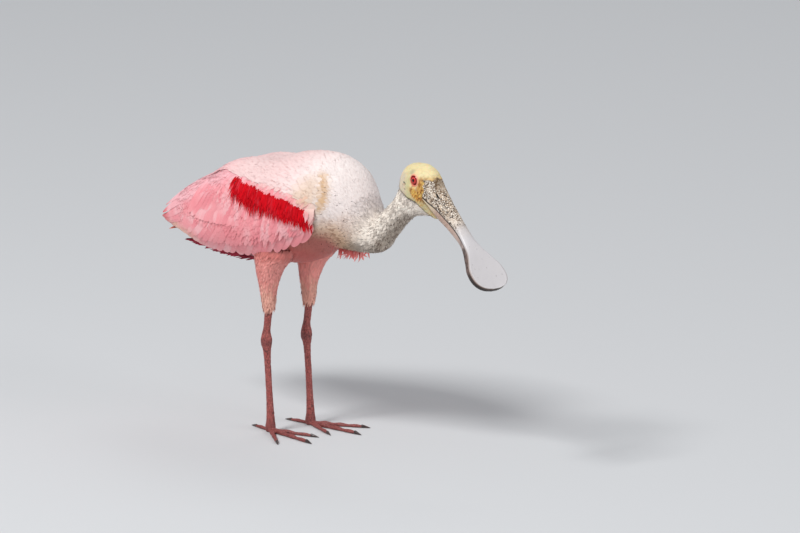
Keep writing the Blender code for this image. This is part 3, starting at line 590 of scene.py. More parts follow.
# Coat of the body: thousands of small feathers, each a thin vane rooted in the skin that lies back
# over the next ones. On the back they are broad and smooth, on the breast and neck narrow and curled.
def roots(form, span, reach, pitch, rng):
    """Roots spread evenly over part of a form: bands one pitch apart along its middle line, each
    holding its area over the product of the two pitches, in even steps across, moved a little."""
    run = np.linspace(*span, 400)
    line = form(run, np.full(400, sum(reach) / 2))
    arc = np.concatenate([[0], np.cumsum(np.linalg.norm(np.diff(line, axis=0), axis=1))])
    edges = np.interp(np.arange(0, arc[-1] + pitch[0], pitch[0]), arc, run)
    across = np.linspace(*reach, 161)
    u, v = np.meshgrid((edges[:-1] + edges[1:]) / 2, across[:-1], indexing="ij")
    _, along, round_, _ = slopes(form, u, v)
    area = np.linalg.norm(np.cross(along, round_), axis=-1) * np.diff(edges)[:, None] * (across[1] - across[0])
    share = area / (pitch[0] * pitch[1])
    total = np.concatenate([[0], np.cumsum(share)])
    marks = np.arange(0.5, total[-1])
    cell = np.searchsorted(total, marks) - 1
    row, column = np.divmod(cell, share.shape[1])
    shift = rng.uniform(-0.4, 0.4, (2, len(marks)))
    inside = (marks - total[cell]) / share.ravel()[cell]
    width = np.linalg.norm(round_, axis=-1)[row, column]
    u = u[row, column] + shift[0] * np.diff(edges)[row]
    v = across[column] + inside * (across[1] - across[0]) + shift[1] * pitch[1] / width
    return u, v


def lay(form, u, v, toward, length, rows):
    """Lines over a form: from each root, equal steps on the surface in the direction that toward
    gives from the place, the ways back and round, and how far along the line it is. The step in
    u and v solves: slope along times du plus slope round times dv equals the step."""
    places, ways, ups, trail = [], [], [], []
    step = length / (rows - 1)
    for row in range(rows):
        here, along, round_, out = slopes(form, u, v)
        goal = toward(here, -unit(along), unit(round_), row / (rows - 1))
        goal = unit(goal - out * (goal * out).sum(-1, keepdims=True))
        e, f, g = (along**2).sum(-1), (along * round_).sum(-1), (round_**2).sum(-1)
        a, b = (goal * along).sum(-1), (goal * round_).sum(-1)
        places.append(here)
        ways.append(goal)
        ups.append(out)
        trail.append(np.stack([u, v], -1))
        u = u + step * (a * g - b * f) / (e * g - f * f)
        v = v + step * (b * e - a * f) / (e * g - f * f)
    return [np.stack(each, 1) for each in (places, ways, ups, trail)]


def tract(form, span, reach, pitch, length, toward, rows, seed, keep=None, sides=(1, -1)):
    """Lines of feathers from roots all over part of a form, on the left, the right, or both."""
    found = []
    for side in sides:
        rng = np.random.default_rng([seed, side + 1])
        u, v = roots(form, span, reach, pitch, rng)
        if keep is not None:
            chosen = rng.random(len(u)) < keep(u, v, form(u, v))
            u, v = u[chosen], v[chosen]
        size = length(form(u, v)) * rng.uniform(0.85, 1.15, len(u))
        lie = lay(form, u, v, toward, size, rows)
        lie = [part * (1, side, 1) for part in lie[:3]]
        found.append(lie + [size, np.stack([u / 30 + 0.1, 0.5 + side * (0.04 + v / 8)], -1)])
    return [np.concatenate(each) for each in zip(*found)]


def outline(t, pointed):
    """Share of its full width that a feather has at t from its root to its tip: it widens over the
    first quarter, and ends in an ellipse, in a slim point, or between the two."""
    round_tip = np.where(t > 0.55, np.sqrt(np.maximum(0, 1 - ((t - 0.55) / 0.46) ** 2)), 1)
    slim_tip = np.where(t > 0.3, 1 - 0.95 * (np.maximum(t - 0.3, 0) / 0.7) ** 1.4, 1)
    return np.maximum(0.06, (0.5 + 0.5 * np.minimum(1, t / 0.25)) * mix_shares(round_tip, slim_tip, pointed))


def mix_shares(a, b, share):
    """From a to b by one share."""
    return a * (1 - share) + b * share


def blades(name, lie, half, lift, tones, columns=4, ragged=0.0, camber=0.12, thick=0.3, wander=0.0,
           seed=1, base=0.93, edge=0.0, vary=0.022):
    """Closed thin vanes along the lines of a lie. At column c, from -1 to 1, a point lies half the
    width times c to the side and the lift less camber times the half width times c squared above
    the form. The inner face lies deeper by the thickness and shares the vane's rim. Wander curls a
    vane to one side as the square of the way along, and ragged draws its end in and out. Its tone
    goes from base times its colour at the root to all of it at the tip, as painted shade where the
    feathers over it cover it, less edge at its sides, and the inner face is painted a tenth darker as shade."""
    place, way, up, size, root = lie
    rng = np.random.default_rng([seed, 7])
    count, rows = place.shape[:2]
    t = np.linspace(0, 1, rows)
    c = np.linspace(-1, 1, columns)
    side = np.cross(way, up)
    curl = rng.normal(0, wander, (count, 1)) * t**2
    centre = place + side * (curl * size[:, None])[..., None] + up * lift[..., None]
    across = half[..., None] * c
    top = centre[:, :, None] + side[:, :, None] * across[..., None]
    top = top - up[:, :, None] * (camber * half[..., None] * c * c)[..., None]
    if ragged:
        end = rng.uniform(-ragged, ragged * 0.4, (count, columns))
        top[:, -1] += way[:, -1, None] * end[..., None]
    low = top[:, 1:-1, 1:-1] - up[:, 1:-1, None] * thick
    inner = low.shape[1] * low.shape[2]
    each = rows * columns + inner
    points = np.concatenate([top.reshape(count, -1, 3), low.reshape(count, inner, 3)], 1)
    upper = np.arange(rows * columns).reshape(rows, columns)
    lower = upper.copy()
    lower[1:-1, 1:-1] = rows * columns + np.arange(inner).reshape(rows - 2, columns - 2)
    faces = np.vstack([
        np.stack([upper[:-1, :-1], upper[:-1, 1:], upper[1:, 1:], upper[1:, :-1]], -1).reshape(-1, 4),
        np.stack([lower[:-1, :-1], lower[1:, :-1], lower[1:, 1:], lower[:-1, 1:]], -1).reshape(-1, 4),
    ])
    quads = (faces[None] + (np.arange(count) * each)[:, None, None]).reshape(-1, 4)
    mesh = mesh_of(name, points.reshape(-1, 3), quads)
    ends = np.empty(len(mesh.edges) * 2, np.int32)
    mesh.edges.foreach_get("vertices", ends)
    rim = np.ones(each, bool)
    rim[upper[1:-1, 1:-1]] = False
    rim[rows * columns :] = False
    crease = mesh.attributes.new("sharp_edge", "BOOLEAN", "EDGE")
    crease.data.foreach_set("value", rim[ends.reshape(-1, 2) % each].all(1))
    run = np.broadcast_to((t * size[:, None])[..., None], across.shape)
    flat = np.stack([across, run], -1) / 10
    patch = root[:, None, None] + 0.003 * np.stack(np.broadcast_arrays(c * 0.5, t[:, None] - 0.5), -1)
    for key, grid in (("feather", flat), ("OFBake", patch)):
        grid = np.concatenate([grid.reshape(count, -1, 2), grid[:, 1:-1, 1:-1].reshape(count, inner, 2)], 1)
        layer = mesh.uv_layers.new(name=key)
        layer.data.foreach_set("uv", grid.reshape(-1, 2)[quads.ravel()].astype(np.float32).ravel())
    # Painted shade: darker towards the root, which the feathers over it cover, and a tenth darker on the inner face;
    # less edge at the sides
    shade = (base + (1.02 - base) * t**0.8)[:, None] * (1 - edge * c * c)
    shade = np.concatenate([shade.ravel(), shade[1:-1, 1:-1].ravel() * 0.9])
    tones = np.broadcast_to(tones[:, None] if tones.ndim == 2 else tones, place.shape) * rng.normal(1, vary, (count, 1, 1))
    tones = np.concatenate([np.repeat(tones, columns, 1), np.repeat(tones[:, 1:-1], columns - 2, 1)], 1)
    paint(mesh, np.clip(tones * shade[:, None], 0, 1).reshape(-1, 3))
    return mesh


def vane_group():
    """A shader group for feathers: fine barbs that slant from the shaft towards the tip, streaks
    across them, and the shaft itself. It reads the feather's own map, in centimetres: x across
    from the shaft and y from the root. It gives a shade round 1 and a height."""
    group = bpy.data.node_groups.new("barbs", "ShaderNodeTree")
    group.interface.new_socket("Barbs", in_out="INPUT", socket_type="NodeSocketFloat").default_value = 0.5
    group.interface.new_socket("Shade", in_out="OUTPUT", socket_type="NodeSocketFloat")
    group.interface.new_socket("Height", in_out="OUTPUT", socket_type="NodeSocketFloat")
    nodes, links = group.nodes, group.links

    def sum_of(kind, first, second=None, third=None):
        """One step of arithmetic on values or sockets."""
        node = nodes.new("ShaderNodeMath")
        node.operation = kind
        for k, value in enumerate((first, second, third)):
            if isinstance(value, (int, float)):
                node.inputs[k].default_value = value
            elif value is not None:
                links.new(value, node.inputs[k])
        return node.outputs[0]

    given, taken = nodes.new("NodeGroupInput"), nodes.new("NodeGroupOutput")
    where = nodes.new("ShaderNodeUVMap")
    where.uv_map = "feather"
    split = nodes.new("ShaderNodeSeparateXYZ")
    links.new(where.outputs["UV"], split.inputs[0])
    off = sum_of("ABSOLUTE", split.outputs["X"])
    slant = sum_of("MULTIPLY_ADD", off, -0.9, split.outputs["Y"])
    barb = sum_of("SINE", sum_of("MULTIPLY", slant, 110.0))
    streak = nodes.new("ShaderNodeTexNoise")
    streak.noise_dimensions = "2D"
    streak.inputs["Scale"].default_value = 1.0
    streak.inputs["Detail"].default_value = 2.0
    joined = nodes.new("ShaderNodeCombineXYZ")
    links.new(sum_of("MULTIPLY", slant, 14.0), joined.inputs[0])
    links.new(sum_of("MULTIPLY", split.outputs["X"], 3.0), joined.inputs[1])
    links.new(joined.outputs[0], streak.inputs["Vector"])
    shaft = sum_of("SUBTRACT", 1.0, sum_of("MINIMUM", sum_of("MULTIPLY", off, 28.0), 1.0))
    uneven = sum_of("SUBTRACT", streak.outputs[0], 0.5)
    shade = sum_of("MULTIPLY_ADD", barb, 0.03, sum_of("MULTIPLY", uneven, 0.34))
    shade = sum_of("ADD", sum_of("MULTIPLY", shade, given.outputs["Barbs"]), 1.0)
    links.new(sum_of("MULTIPLY_ADD", shaft, -0.06, shade), taken.inputs["Shade"])
    height = sum_of("MULTIPLY_ADD", barb, 0.25, sum_of("MULTIPLY_ADD", uneven, 0.8, shaft))
    links.new(height, taken.inputs["Height"])
    return group


barbs = vane_group()


def plumage(name, roughness=0.5, sheen=0.25, depth=0.35, barb=0.6, glow=0.0):
    """A feather material: the painted colour times the barbs' shade, the barbs as a bump."""
    made = bpy.data.materials.new(name)
    made.use_nodes = True
    nodes, links = made.node_tree.nodes, made.node_tree.links
    shader = nodes["Principled BSDF"]
    painted = nodes.new("ShaderNodeAttribute")
    painted.attribute_name = "plumage"
    pattern = nodes.new("ShaderNodeGroup")
    pattern.node_tree = barbs
    pattern.inputs["Barbs"].default_value = barb
    scaled = nodes.new("ShaderNodeVectorMath")
    scaled.operation = "SCALE"
    links.new(painted.outputs["Color"], scaled.inputs[0])
    links.new(pattern.outputs["Shade"], scaled.inputs["Scale"])
    links.new(scaled.outputs[0], shader.inputs["Base Color"])
    bump = nodes.new("ShaderNodeBump")
    bump.inputs["Distance"].default_value = 0.0001
    bump.inputs["Strength"].default_value = depth
    links.new(pattern.outputs["Height"], bump.inputs["Height"])
    links.new(bump.outputs[0], shader.inputs["Normal"])
    shader.inputs["Roughness"].default_value = roughness
    shader.inputs["Sheen Weight"].default_value = sheen
    shader.inputs["Sheen Roughness"].default_value = 0.4
    shader.inputs["Specular IOR Level"].default_value = 0.3
    return made


# The folded wing's form, as the body's: rows of
# top x, top z, bottom x, bottom z, half width, fullness, then how far down the flank the wing's
# upper and lower edges lie, and how thick it is
FOLD = [
    (-240, 249, -236, 239, 15, 2.0, 0.12, 0.8, 2.5),
    (-222, 263, -218, 233, 24, 2.1, 0.08, 0.72, 3.5),
    (-190, 284, -184, 227, 35, 2.3, 0.06, 0.76, 4.5),
    (-150, 305, -145, 219, 47, 2.5, 0.06, 0.84, 6.0),
    (-105, 323, -102, 217, 55, 2.6, 0.09, 0.84, 7.5),
    (-60, 346, -60, 219, 60, 2.6, 0.15, 0.83, 9.0),
    (-10, 355, -10, 221, 62, 2.6, 0.2, 0.83, 10.5),
    (40, 367, 34, 226, 61, 2.5, 0.24, 0.83, 10.5),
    (82, 369, 66, 236, 57, 2.4, 0.28, 0.78, 9.0),
    (113, 361, 92, 250, 51, 2.2, 0.34, 0.66, 6.5),
    (136, 346, 112, 262, 42, 2.0, 0.4, 0.54, 4.0),
]
WING_PROFILE = (0.3, 0.8, 1.0, 0.98, 0.85, 0.68, 0.52, 0.42, 0.34)


def flank(u, a):
    """Point of the oval that the folded wings lie round, at rib u and angle a."""
    rib = spline(FOLD, u)
    return oval(np.concatenate([rib[..., :6], rib[..., :1] * 0], -1), a)


fold_at = np.linspace(-0.5, 10.2, 108)
fold_angle = np.linspace(0, math.pi, 361)
ring = flank(*np.meshgrid(fold_at, fold_angle, indexing="ij"))
steps = np.linalg.norm(np.diff(ring, axis=1), axis=-1)
share = np.cumsum(steps, axis=1) / steps.sum(1, keepdims=True)
limits = spline(FOLD, fold_at)[:, 6:8]
edge_high = np.array([np.interp(limit[0], row, fold_angle[1:]) for limit, row in zip(limits, share)])
edge_low = np.array([np.interp(limit[1], row, fold_angle[1:]) for limit, row in zip(limits, share)])


def down_wing(u, a):
    """Share of the way down the folded wing at rib u and angle a: 0 at its upper edge, 1 at its lower."""
    high, low = np.interp(u, fold_at, edge_high), np.interp(u, fold_at, edge_low)
    return (a - high) / (low - high)


def wing_profile(t):
    """Height of the wing's face in parts of its thickness, at t from its upper to its lower edge."""
    return np.interp(t, np.linspace(0, 1, len(WING_PROFILE)), WING_PROFILE)


def wing(u, a):
    """Outer face of the left wing: the flank's oval raised by a profile times the wing's thickness.
    Past its upper edge it dives into the body."""
    here, _, _, out = slopes(flank, u, a)
    t = down_wing(u, a)
    thick = spline(FOLD, u)[..., 8] * np.clip(0.25 + (9.6 - u) / 1.2, 0, 1)
    height = 0.8 + thick * wing_profile(t) + 34 * np.minimum(t, 0)
    return here + out * height[..., None]


def mantle(u, a):
    """The body's form where it is outermost, else the wing's: the body raised by half of d plus
    the root of d squared plus 4, d being how far the wing stands out over it. Near the middle line
    the angle is rounded off, as the root of its square plus 0.02, so that no crease is left."""
    here, _, _, out = slopes(body, u, a)
    proud = ((wing(u + 2, np.sqrt(a * a + 0.02)) - here) * out).sum(-1)
    return here + out * (0.5 * (proud + np.sqrt(proud**2 + 4)))[..., None]


def wing_colour(p):
    """Pink with paler and deeper streaks that lean back more towards the tail, paler along the
    upper edge, cream above the carmine band and at the wrist, peach along the lower edge's rear and
    coral at the very tips."""
    x, z = p[..., 0], p[..., 2]
    top = np.interp(x, (-240, -190, -150, -105, -60, -10, 40, 113), (248, 284, 305, 323, 344, 355, 366, 361))
    tone = np.broadcast_to(colour(248, 156, 162), p.shape).copy()
    lean = np.radians(np.interp(x, (-200, 100), (62, 12)))
    across = x * np.cos(lean) - (z - 260) * np.sin(lean)
    along = x * np.sin(lean) + (z - 260) * np.cos(lean)
    streak = noise(np.stack([across, 0 * x, 0.16 * along], -1), 5.0, 55)
    tone = mix(tone, colour(253, 206, 208), 0.5 * blend(0.05, 0.6, streak))
    tone = mix(tone, colour(238, 124, 136), 0.4 * blend(-0.05, -0.6, streak))
    tone = mix(tone, colour(252, 190, 196), 0.9 * blend(34, 10, top - z + 6 * noise(p, 16, 40)))
    tone = mix(tone, colour(242, 204, 200), blend(-3, 10, z - stripe_top(x) + 3 * noise(p, 9, 46)) * blend(-70, -10, x))
    tone = mix(tone, colour(246, 142, 148), 0.5 * blend(276, 252, z) * blend(-130, -20, x))
    tone = mix(tone, colour(255, 156, 160), 0.5 * blend(262, 240, z - 0.3 * np.maximum(x - 10, 0)) * blend(0, 60, x))
    tone = mix(tone, colour(242, 214, 200), 0.8 * blend(88, 110, x))
    tone = mix(tone, colour(250, 188, 162), 0.9 * blend(-110, -180, x) * blend(250, 240, z))
    tone = mix(tone, colour(226, 104, 108), blend(-203, -215, x + 3 * noise(p, 5, 53)))
    return mix(tone, colour(204, 156, 90), 0.95 * buff(p))


def straight_down(share):
    """A lie turned from straight back by an angle whose share of a right angle is given."""
    turn = share * math.pi / 2
    return lambda place, back, down, t: back * math.cos(turn) + down * math.sin(turn)


soft = plumage("soft pink feathers", 0.5, 0.12)
cream = plumage("cream feathers", 0.6, 0.2)
silk = plumage("pink wing feathers", 0.45, 0.08, 0.5, 0.8)


def under_wing(u, a):
    """1 where the body is well under the folded wing."""
    t = down_wing(u + 2, a)
    return (t > 0.22) & (t < 0.7) & (u < 7.3)


def to_tail(place, back, down, t):
    """Straight back along the body, falling a little down its sides."""
    return back + 0.2 * down * blend(2, 30, np.abs(place[:, 1:2]))


def to_breast(place, back, down, t):
    """Back along the body and down."""
    return back + 0.1 * down


def coat(name, lie, width, pointed, finish, slot, tone, depth=2.8, top=0.0, loose=0.22, **how):
    """A tract of feathers that rise from the skin to the form's surface."""
    rows = lie[0].shape[1]
    t = np.linspace(0, 1, rows)
    rng = np.random.default_rng([len(lie[0]), 3])
    half = width / 2 * outline(t, pointed) * rng.uniform(0.85, 1.15, (len(lie[0]), 1))
    lift = top - depth * (1 - t**0.6) + rng.normal(0, loose, (len(lie[0]), 1)) * t
    mesh = blades(name, lie, half, lift, tone(lie[0][:, -2]), **how)
    return piece(name, mesh, finish, slot)


def neck_colour(p):
    """The body's colour with grey-brown curled marks in it, which follow the lines where a noise
    passes through zero, closest together under the neck, and a painted shadow along the line where the feathers end."""
    lines = blend(0.2, 0.05, np.abs(noise(p, 5.5, 35))) + blend(0.3, 0.7, noise(p, 3.4, 36))
    share = np.clip(lines, 0, 1) * blend(132, 190, p[:, 0]) * (0.6 + 0.4 * under_neck(p))
    tone = mix(body_colour(p), colour(96, 74, 60), 0.72 * share)
    # Darker close to the line where the feathers end: a painted shadow of the crease there
    return mix(tone, colour(84, 66, 54), 0.85 * blend(-7, -1, over_line(p)) * blend(228, 240, p[:, 0]))


back = tract(mantle, (1.15, 8.4), (-0.12, 1.25), (3.9, 3.5), lambda p: 18 + 8 * blend(-150, -110, p[:, 0]), to_tail, 5, 11,
             keep=lambda u, v, p: down_wing(u + 2, v) < 0.12)
coat("mantle", back, 9.5, 0.3, soft, "pale_pink_feathers", body_colour, ragged=1.2, camber=0.06, base=0.97)
sides = tract(body, (0.4, 7.6), (1.25, 3.2), (4.0, 3.6), lambda p: 17 + 6 * blend(-150, -110, p[:, 0]), to_tail, 5, 12,
              keep=lambda u, v, p: ~under_wing(u, v))
coat("belly", sides, 8.5, 0.45, soft, "pale_pink_feathers", body_colour, ragged=1.5)
breast = tract(body, (7.1, 10.4), (-0.1, 3.2), (3.0, 2.6), lambda p: 11 + 6 * blend(280, 330, p[:, 2]), to_breast, 5, 13)
coat("breast", breast, 6.2, 0.6, cream, "off_white_feathers", body_colour, ragged=1.5, wander=0.05, base=0.95, loose=0.06)
neck = tract(body, (9.3, 19.5), (-0.1, 3.2), (2.3, 2.0), lambda p: 8.5 + 0 * p[:, 0], to_breast, 5, 14,
             keep=lambda u, v, p: bareness(p) < 0.5)
coat("neck", neck, 2.8, 0.8, cream, "off_white_feathers", neck_colour, depth=1.7, top=0.3, columns=3, wander=0.35,
     ragged=0.8, base=0.9, edge=0.08, vary=0.05)

# Folded wings: a core of flesh and feather roots, then from the inside out the primaries, the
# secondaries, the tertials, the greater and median coverts and a coat of small coverts
# Each tier: first and last root (x, z), first and last angle below straight back, bend, lengths from
# first to last, width, share of the wing's thickness that it lies at, count, how pointed
FLIGHT = {
    "primaries": ((-44, 246), (-114, 268), (6.5, 4.5), 0, (187, 179, 160, 137), 20, 0.12, 9, 0.6),
    "secondaries": ((102, 300), (-96, 300), (66, 40), 8, (44, 80, 110, 114, 100), 26, 0.46, 18, 0.5),
    "tertials": ((-44, 312), (-90, 326), (24, 5), 3, (190, 185, 178, 166, 134), 20, 0.46, 9, 0.75),
    "greater": ((104, 308), (-100, 306), (70, 40), 8, (36, 60, 84, 94, 90), 20, 0.7, 28, 0.55),
    "median": ((104, 314), (-90, 318), (74, 42), 8, (28, 46, 62, 68), 20, 0.86, 30, 0.45),
}


def on_flank(x, z):
    """Rib and angle of the flank's point with this x and z."""
    middles = [(row[0] + row[2]) / 2 for row in FOLD]
    u = np.interp(x, middles, np.arange(len(FOLD)))
    heights = flank(*np.meshgrid(u, fold_angle, indexing="ij"))[..., 2]
    return u, np.array([np.interp(-low, -row, fold_angle) for low, row in zip(z, heights)])


def flight(name, side, seed):
    """One tier's lines on the flank, each feather a little unlike the next."""
    first, last, angles, bend, lengths, width, level, count, pointed = FLIGHT[name]
    rng = np.random.default_rng(seed)
    t = np.linspace(0, 1, count)
    u, a = on_flank(first[0] + (last[0] - first[0]) * t, first[1] + (last[1] - first[1]) * t)
    turn = np.radians(angles[0] + (angles[1] - angles[0]) * t + rng.uniform(-1.5, 1.5, count))
    size = np.interp(t, np.linspace(0, 1, len(lengths)), lengths) * rng.uniform(0.985, 1.015, count)

    def toward(place, back, down, run):
        """Back turned down by the feather's own angle, less its bend."""
        angle = (turn - math.radians(bend) * run)[:, None]
        return back * np.cos(angle) + down * np.sin(angle)

    rows = 15
    lie = lay(flank, u, a, toward, size, rows)
    run = np.linspace(0, 1, rows)
    thick = spline(FOLD, u)[:, 8:9]
    thick = thick * wing_profile(down_wing(lie[3][..., 0], lie[3][..., 1]))
    lift = 0.6 + level * thick * np.minimum(1, 0.3 + run / 0.3) + 1.2 * np.maximum(0, run - 0.7) * (angles[0] > 60)
    lie = [part * (1, side, 1) for part in lie[:3]]
    lie += [size, np.stack([u / 30 + 0.5, 0.5 + side * (0.04 + a / 8)], -1)]
    half = np.broadcast_to(width / 2 * outline(run, pointed), (count, rows))
    return lie, half, lift


def wing_core(side):
    """The wing's flesh: rings from the body out to just under the coverts."""
    us = np.linspace(2.4, 9.5, 60)
    t = np.linspace(0, 1, 40)
    u, t = np.meshgrid(us, t, indexing="ij")
    high, low = np.interp(u, fold_at, edge_high), np.interp(u, fold_at, edge_low)
    a = high + (low - high) * t * 0.8
    outer, _, _, out = slopes(wing, u, a)
    inner, _, _, deep = slopes(flank, u, a)
    outer = outer - out * (2.2 + 2.6 * t)[..., None]
    inner = inner - deep * 3.0
    rings = np.concatenate([outer, inner[:, ::-1]], 1)
    return rings if side > 0 else rings[:, ::-1] * (1, -1, 1)


def in_band(u, v, p):
    """How surely a carmine plume is rooted at a place: a band below its upper edge, fading out
    downwards and at its ends."""
    below = stripe_top(p[:, 0]) - p[:, 2] + 1.5 * noise(p, 6, 47)
    return blend(-1.0, 2.0, below) * blend(19, 5, below) * blend(-38, -24, p[:, 0]) * blend(110, 104, p[:, 0])


def to_floor(place, back, down, t):
    """Straight down, with a random lean of some ten degrees to either side."""
    return down + back * (0.05 + 0.3 * noise(place, 2.5, 48))[:, None]


def carmine(p):
    """Deep blood red, with a few brighter and pinker plumes."""
    tone = np.broadcast_to(colour(214, 2, 22), p.shape)
    return mix(tone, colour(240, 84, 100), blend(0.2, 0.9, noise(p, 4, 37)) * 0.4)


velvet = plumage("carmine plumes", 0.7, 0.0, 0.3, 0.4)
velvet.node_tree.nodes["Principled BSDF"].inputs["Specular IOR Level"].default_value = 0.12
stamp = {1: "left", -1: "right"}
for side in (1, -1):
    core = mesh_of("core", *capped(wing_core(side)))
    # The core is painted a tenth darker than the wing, as the shade under its feathers
    paint(core, wing_colour(points_of(core)) * 0.9)
    piece(f"wing_core_{stamp[side]}", core, hide, "pink_feathers", f"wing_{stamp[side]}")
    for number, name in enumerate(FLIGHT):
        lie, half, lift = flight(name, side, [number, side + 1])
        mesh = blades(f"{name}_{stamp[side]}", lie, half, lift, wing_colour(lie[0] * (1, side, 1)), columns=9, camber=0.04,
                      thick=0.2, vary=0.02, base=0.97)
        piece(f"{name}_{stamp[side]}", mesh, silk, "pink_feathers")
    small = tract(wing, (2.6, 9.7), (0.1, 2.4), (4.2, 3.6), lambda p: 32 + 6 * noise(p, 3, 45), straight_down(0.64), 6,
                  21, keep=lambda u, v, p: (down_wing(u, v) > -0.12) * blend(0.56, 0.46, down_wing(u, v)), sides=(side,))
    coat(f"coverts_{stamp[side]}", small, 7.2, 0.5, silk, "pink_feathers", wing_colour, top=-0.7, ragged=0.8,
         camber=0.03, thick=0.15, base=0.98, vary=0.025, loose=0.1)
    band = tract(wing, (5.1, 9.35), (0.3, 2.4), (1.9, 1.7), lambda p: 21 + 9 * noise(p, 1.7, 44), to_floor, 5,
                 31, keep=in_band, sides=(side,))
    coat(f"carmine_{stamp[side]}", band, 2.6, 0.9, velvet, "pink_feathers", carmine, top=1.4, depth=3.0, columns=3,
         wander=0.1, ragged=0.8, vary=0.1, base=0.8)

# Thighs: the feathered part of each leg, in narrow coral feathers that hang down, wet and pale
# towards the bottom
def thigh_colour(p):
    """Coral, with whitish streaks low down."""
    z = p[..., 2]
    tone = np.broadcast_to(colour(250, 164, 155), p.shape).copy()
    tone = mix(tone, body_colour(p), 0.75 * blend(220, 240, z))
    pale = blend(200, 172, z + 14 * noise(p * (1, 1, 0.25), 3.5, 8))
    return mix(tone, colour(238, 186, 164), 0.7 * pale)


leg_coat = tract(thigh, (0.2, 3.95), (0.0, math.tau - 0.03), (2.6, 1.8), lambda p: 14.0 + 0 * p[:, 0],
                 lambda place, back, down, t: -back, 4, 41)
coat("thigh_feathers", leg_coat, 2.6, 0.85, soft, "pink_feathers", thigh_colour, top=0.3, depth=1.8, columns=3,
     wander=0.1, ragged=1.5, vary=0.08, base=0.9, edge=0.06)

# Tail: twelve short orange feathers in a closed fan, with crimson coverts below their roots and
# pink ones above
TAIL_ROOT, TAIL_TIP = np.array([-162.4, 0, 250.0]), np.array([-228.0, 0, 231.0])


def straight(root, way, up, size, rows, droop=0.0):
    """Straight lines from roots along ways, sinking from them by droop times the square of the
    share along times the length."""
    t = np.linspace(0, 1, rows)
    way, side = unit(way), unit(np.cross(way, up))
    up = np.cross(side, way)
    line = root[:, None] + way[:, None] * (t * size[:, None])[..., None]
    line = line - up[:, None] * (droop * size[:, None] * t**2)[..., None]
    heading = unit(way[:, None] - up[:, None] * (2 * droop * t[None, :, None]))
    across = np.broadcast_to(side[:, None], line.shape)
    return [line, heading, np.cross(across, heading), size, np.stack([root[:, 0] / 900 + 0.6, root[:, 1] / 300 + 0.5], -1)]


def fan(count, wide, lengths, drop, level, seed, spread=0.0, back=0.0):
    """Feathers side by side from the tail's root, the outer ones lower and shorter."""
    rng = np.random.default_rng(seed)
    c = np.linspace(-1, 1, count)
    axis = unit(TAIL_TIP - TAIL_ROOT)
    up = unit(np.array([-axis[2], 0, axis[0]]) * -1)
    root = TAIL_ROOT + np.outer(c * wide, (0, 1, 0)) + np.outer(level - drop * np.abs(c), up) + axis * back
    way = axis + np.outer(c * spread, (0, 1, 0)) - np.outer(0 * c, up)
    size = lengths[0] + (lengths[1] - lengths[0]) * np.abs(c) + rng.uniform(-1, 1, count)
    return straight(root, way, up + np.outer(c * 0.25, (0, 1, 0)), size, 11, 0.01)


def rectrix_colour(p):
    """Salmon orange, deeper at the tips."""
    return mix(np.broadcast_to(colour(240, 138, 84), p.shape), colour(226, 96, 52), blend(-190, -226, p[..., 0]))


tail_finish = plumage("orange tail feathers", 0.45, 0.15, 0.5)
tail_fan = fan(12, 7.5, (68, 62), 4.5, 1.0, 51, 0.17)
run = np.linspace(0, 1, 11)
half = np.broadcast_to(5.6 * outline(run, 0.2), (12, 11))
tail = blades("tail_feathers", tail_fan, half, np.zeros((12, 11)), rectrix_colour(tail_fan[0]), columns=9, edge=0.16,
              vary=0.05)
piece("tail_feathers", tail, tail_finish, "orange_tail_feathers", "tail")



def rump(u, v):
    """The saddle between the folded wings, from over the tail at u 0 up under the mantle at u 3. It
    is 18 mm plus 5 for each step of u wide to either side, where v is 1, and has sunk there by 6."""
    row = spline([(-222, 238), (-198, 258), (-168, 287), (-138, 305)], u)
    return np.stack([row[..., 0], (18 + 5 * u) * v, row[..., 1] - 6 * v * v], -1)


def rump_colour(p):
    """Pink, turning carmine over the tail."""
    return mix(body_colour(p), colour(240, 112, 122), blend(-175, -208, p[..., 0] + 6 * noise(p, 6, 54)))


saddle = tract(rump, (1.0, 2.95), (-0.1, 1.1), (3.6, 3.4), lambda p: 20 + 0 * p[:, 0], to_tail, 5, 52)
coat("upper_tail_coverts", saddle, 8.0, 0.5, soft, "pale_pink_feathers", rump_colour, ragged=1.2, camber=0.06, base=0.94)
rng = np.random.default_rng(53)
count = 220
x, y = rng.uniform(-152, -45, count), rng.uniform(-30, 30, count)
low = np.interp(x, (-171, -148, -110, -60), (229, 216, 213, 215)) + 9 * (y / 30) ** 2
way = np.stack([np.full(count, -1.0), 0.08 * y / 24, 0.03 + 0.06 * rng.random(count) - 0.0022 * (x + 152)], -1)
lie = straight(np.stack([x, y, low], -1), way, np.stack([0 * x, y / 30, -1 + 0 * x], -1), rng.uniform(20, 30, count), 8, -0.04)
half = 3.2 * outline(np.linspace(0, 1, 8), 0.8) * rng.uniform(0.8, 1.2, (count, 1))
lift = np.linspace(-1.5, 0.6, 8) * rng.uniform(0.6, 1.5, (count, 1))
mesh = blades("under_tail_coverts", lie, half, lift, np.broadcast_to(colour(150, 30, 52), (count, 3)), columns=5,
              ragged=1.5, vary=0.16, wander=0.06)
piece("under_tail_coverts", mesh, velvet, "pale_pink_feathers")

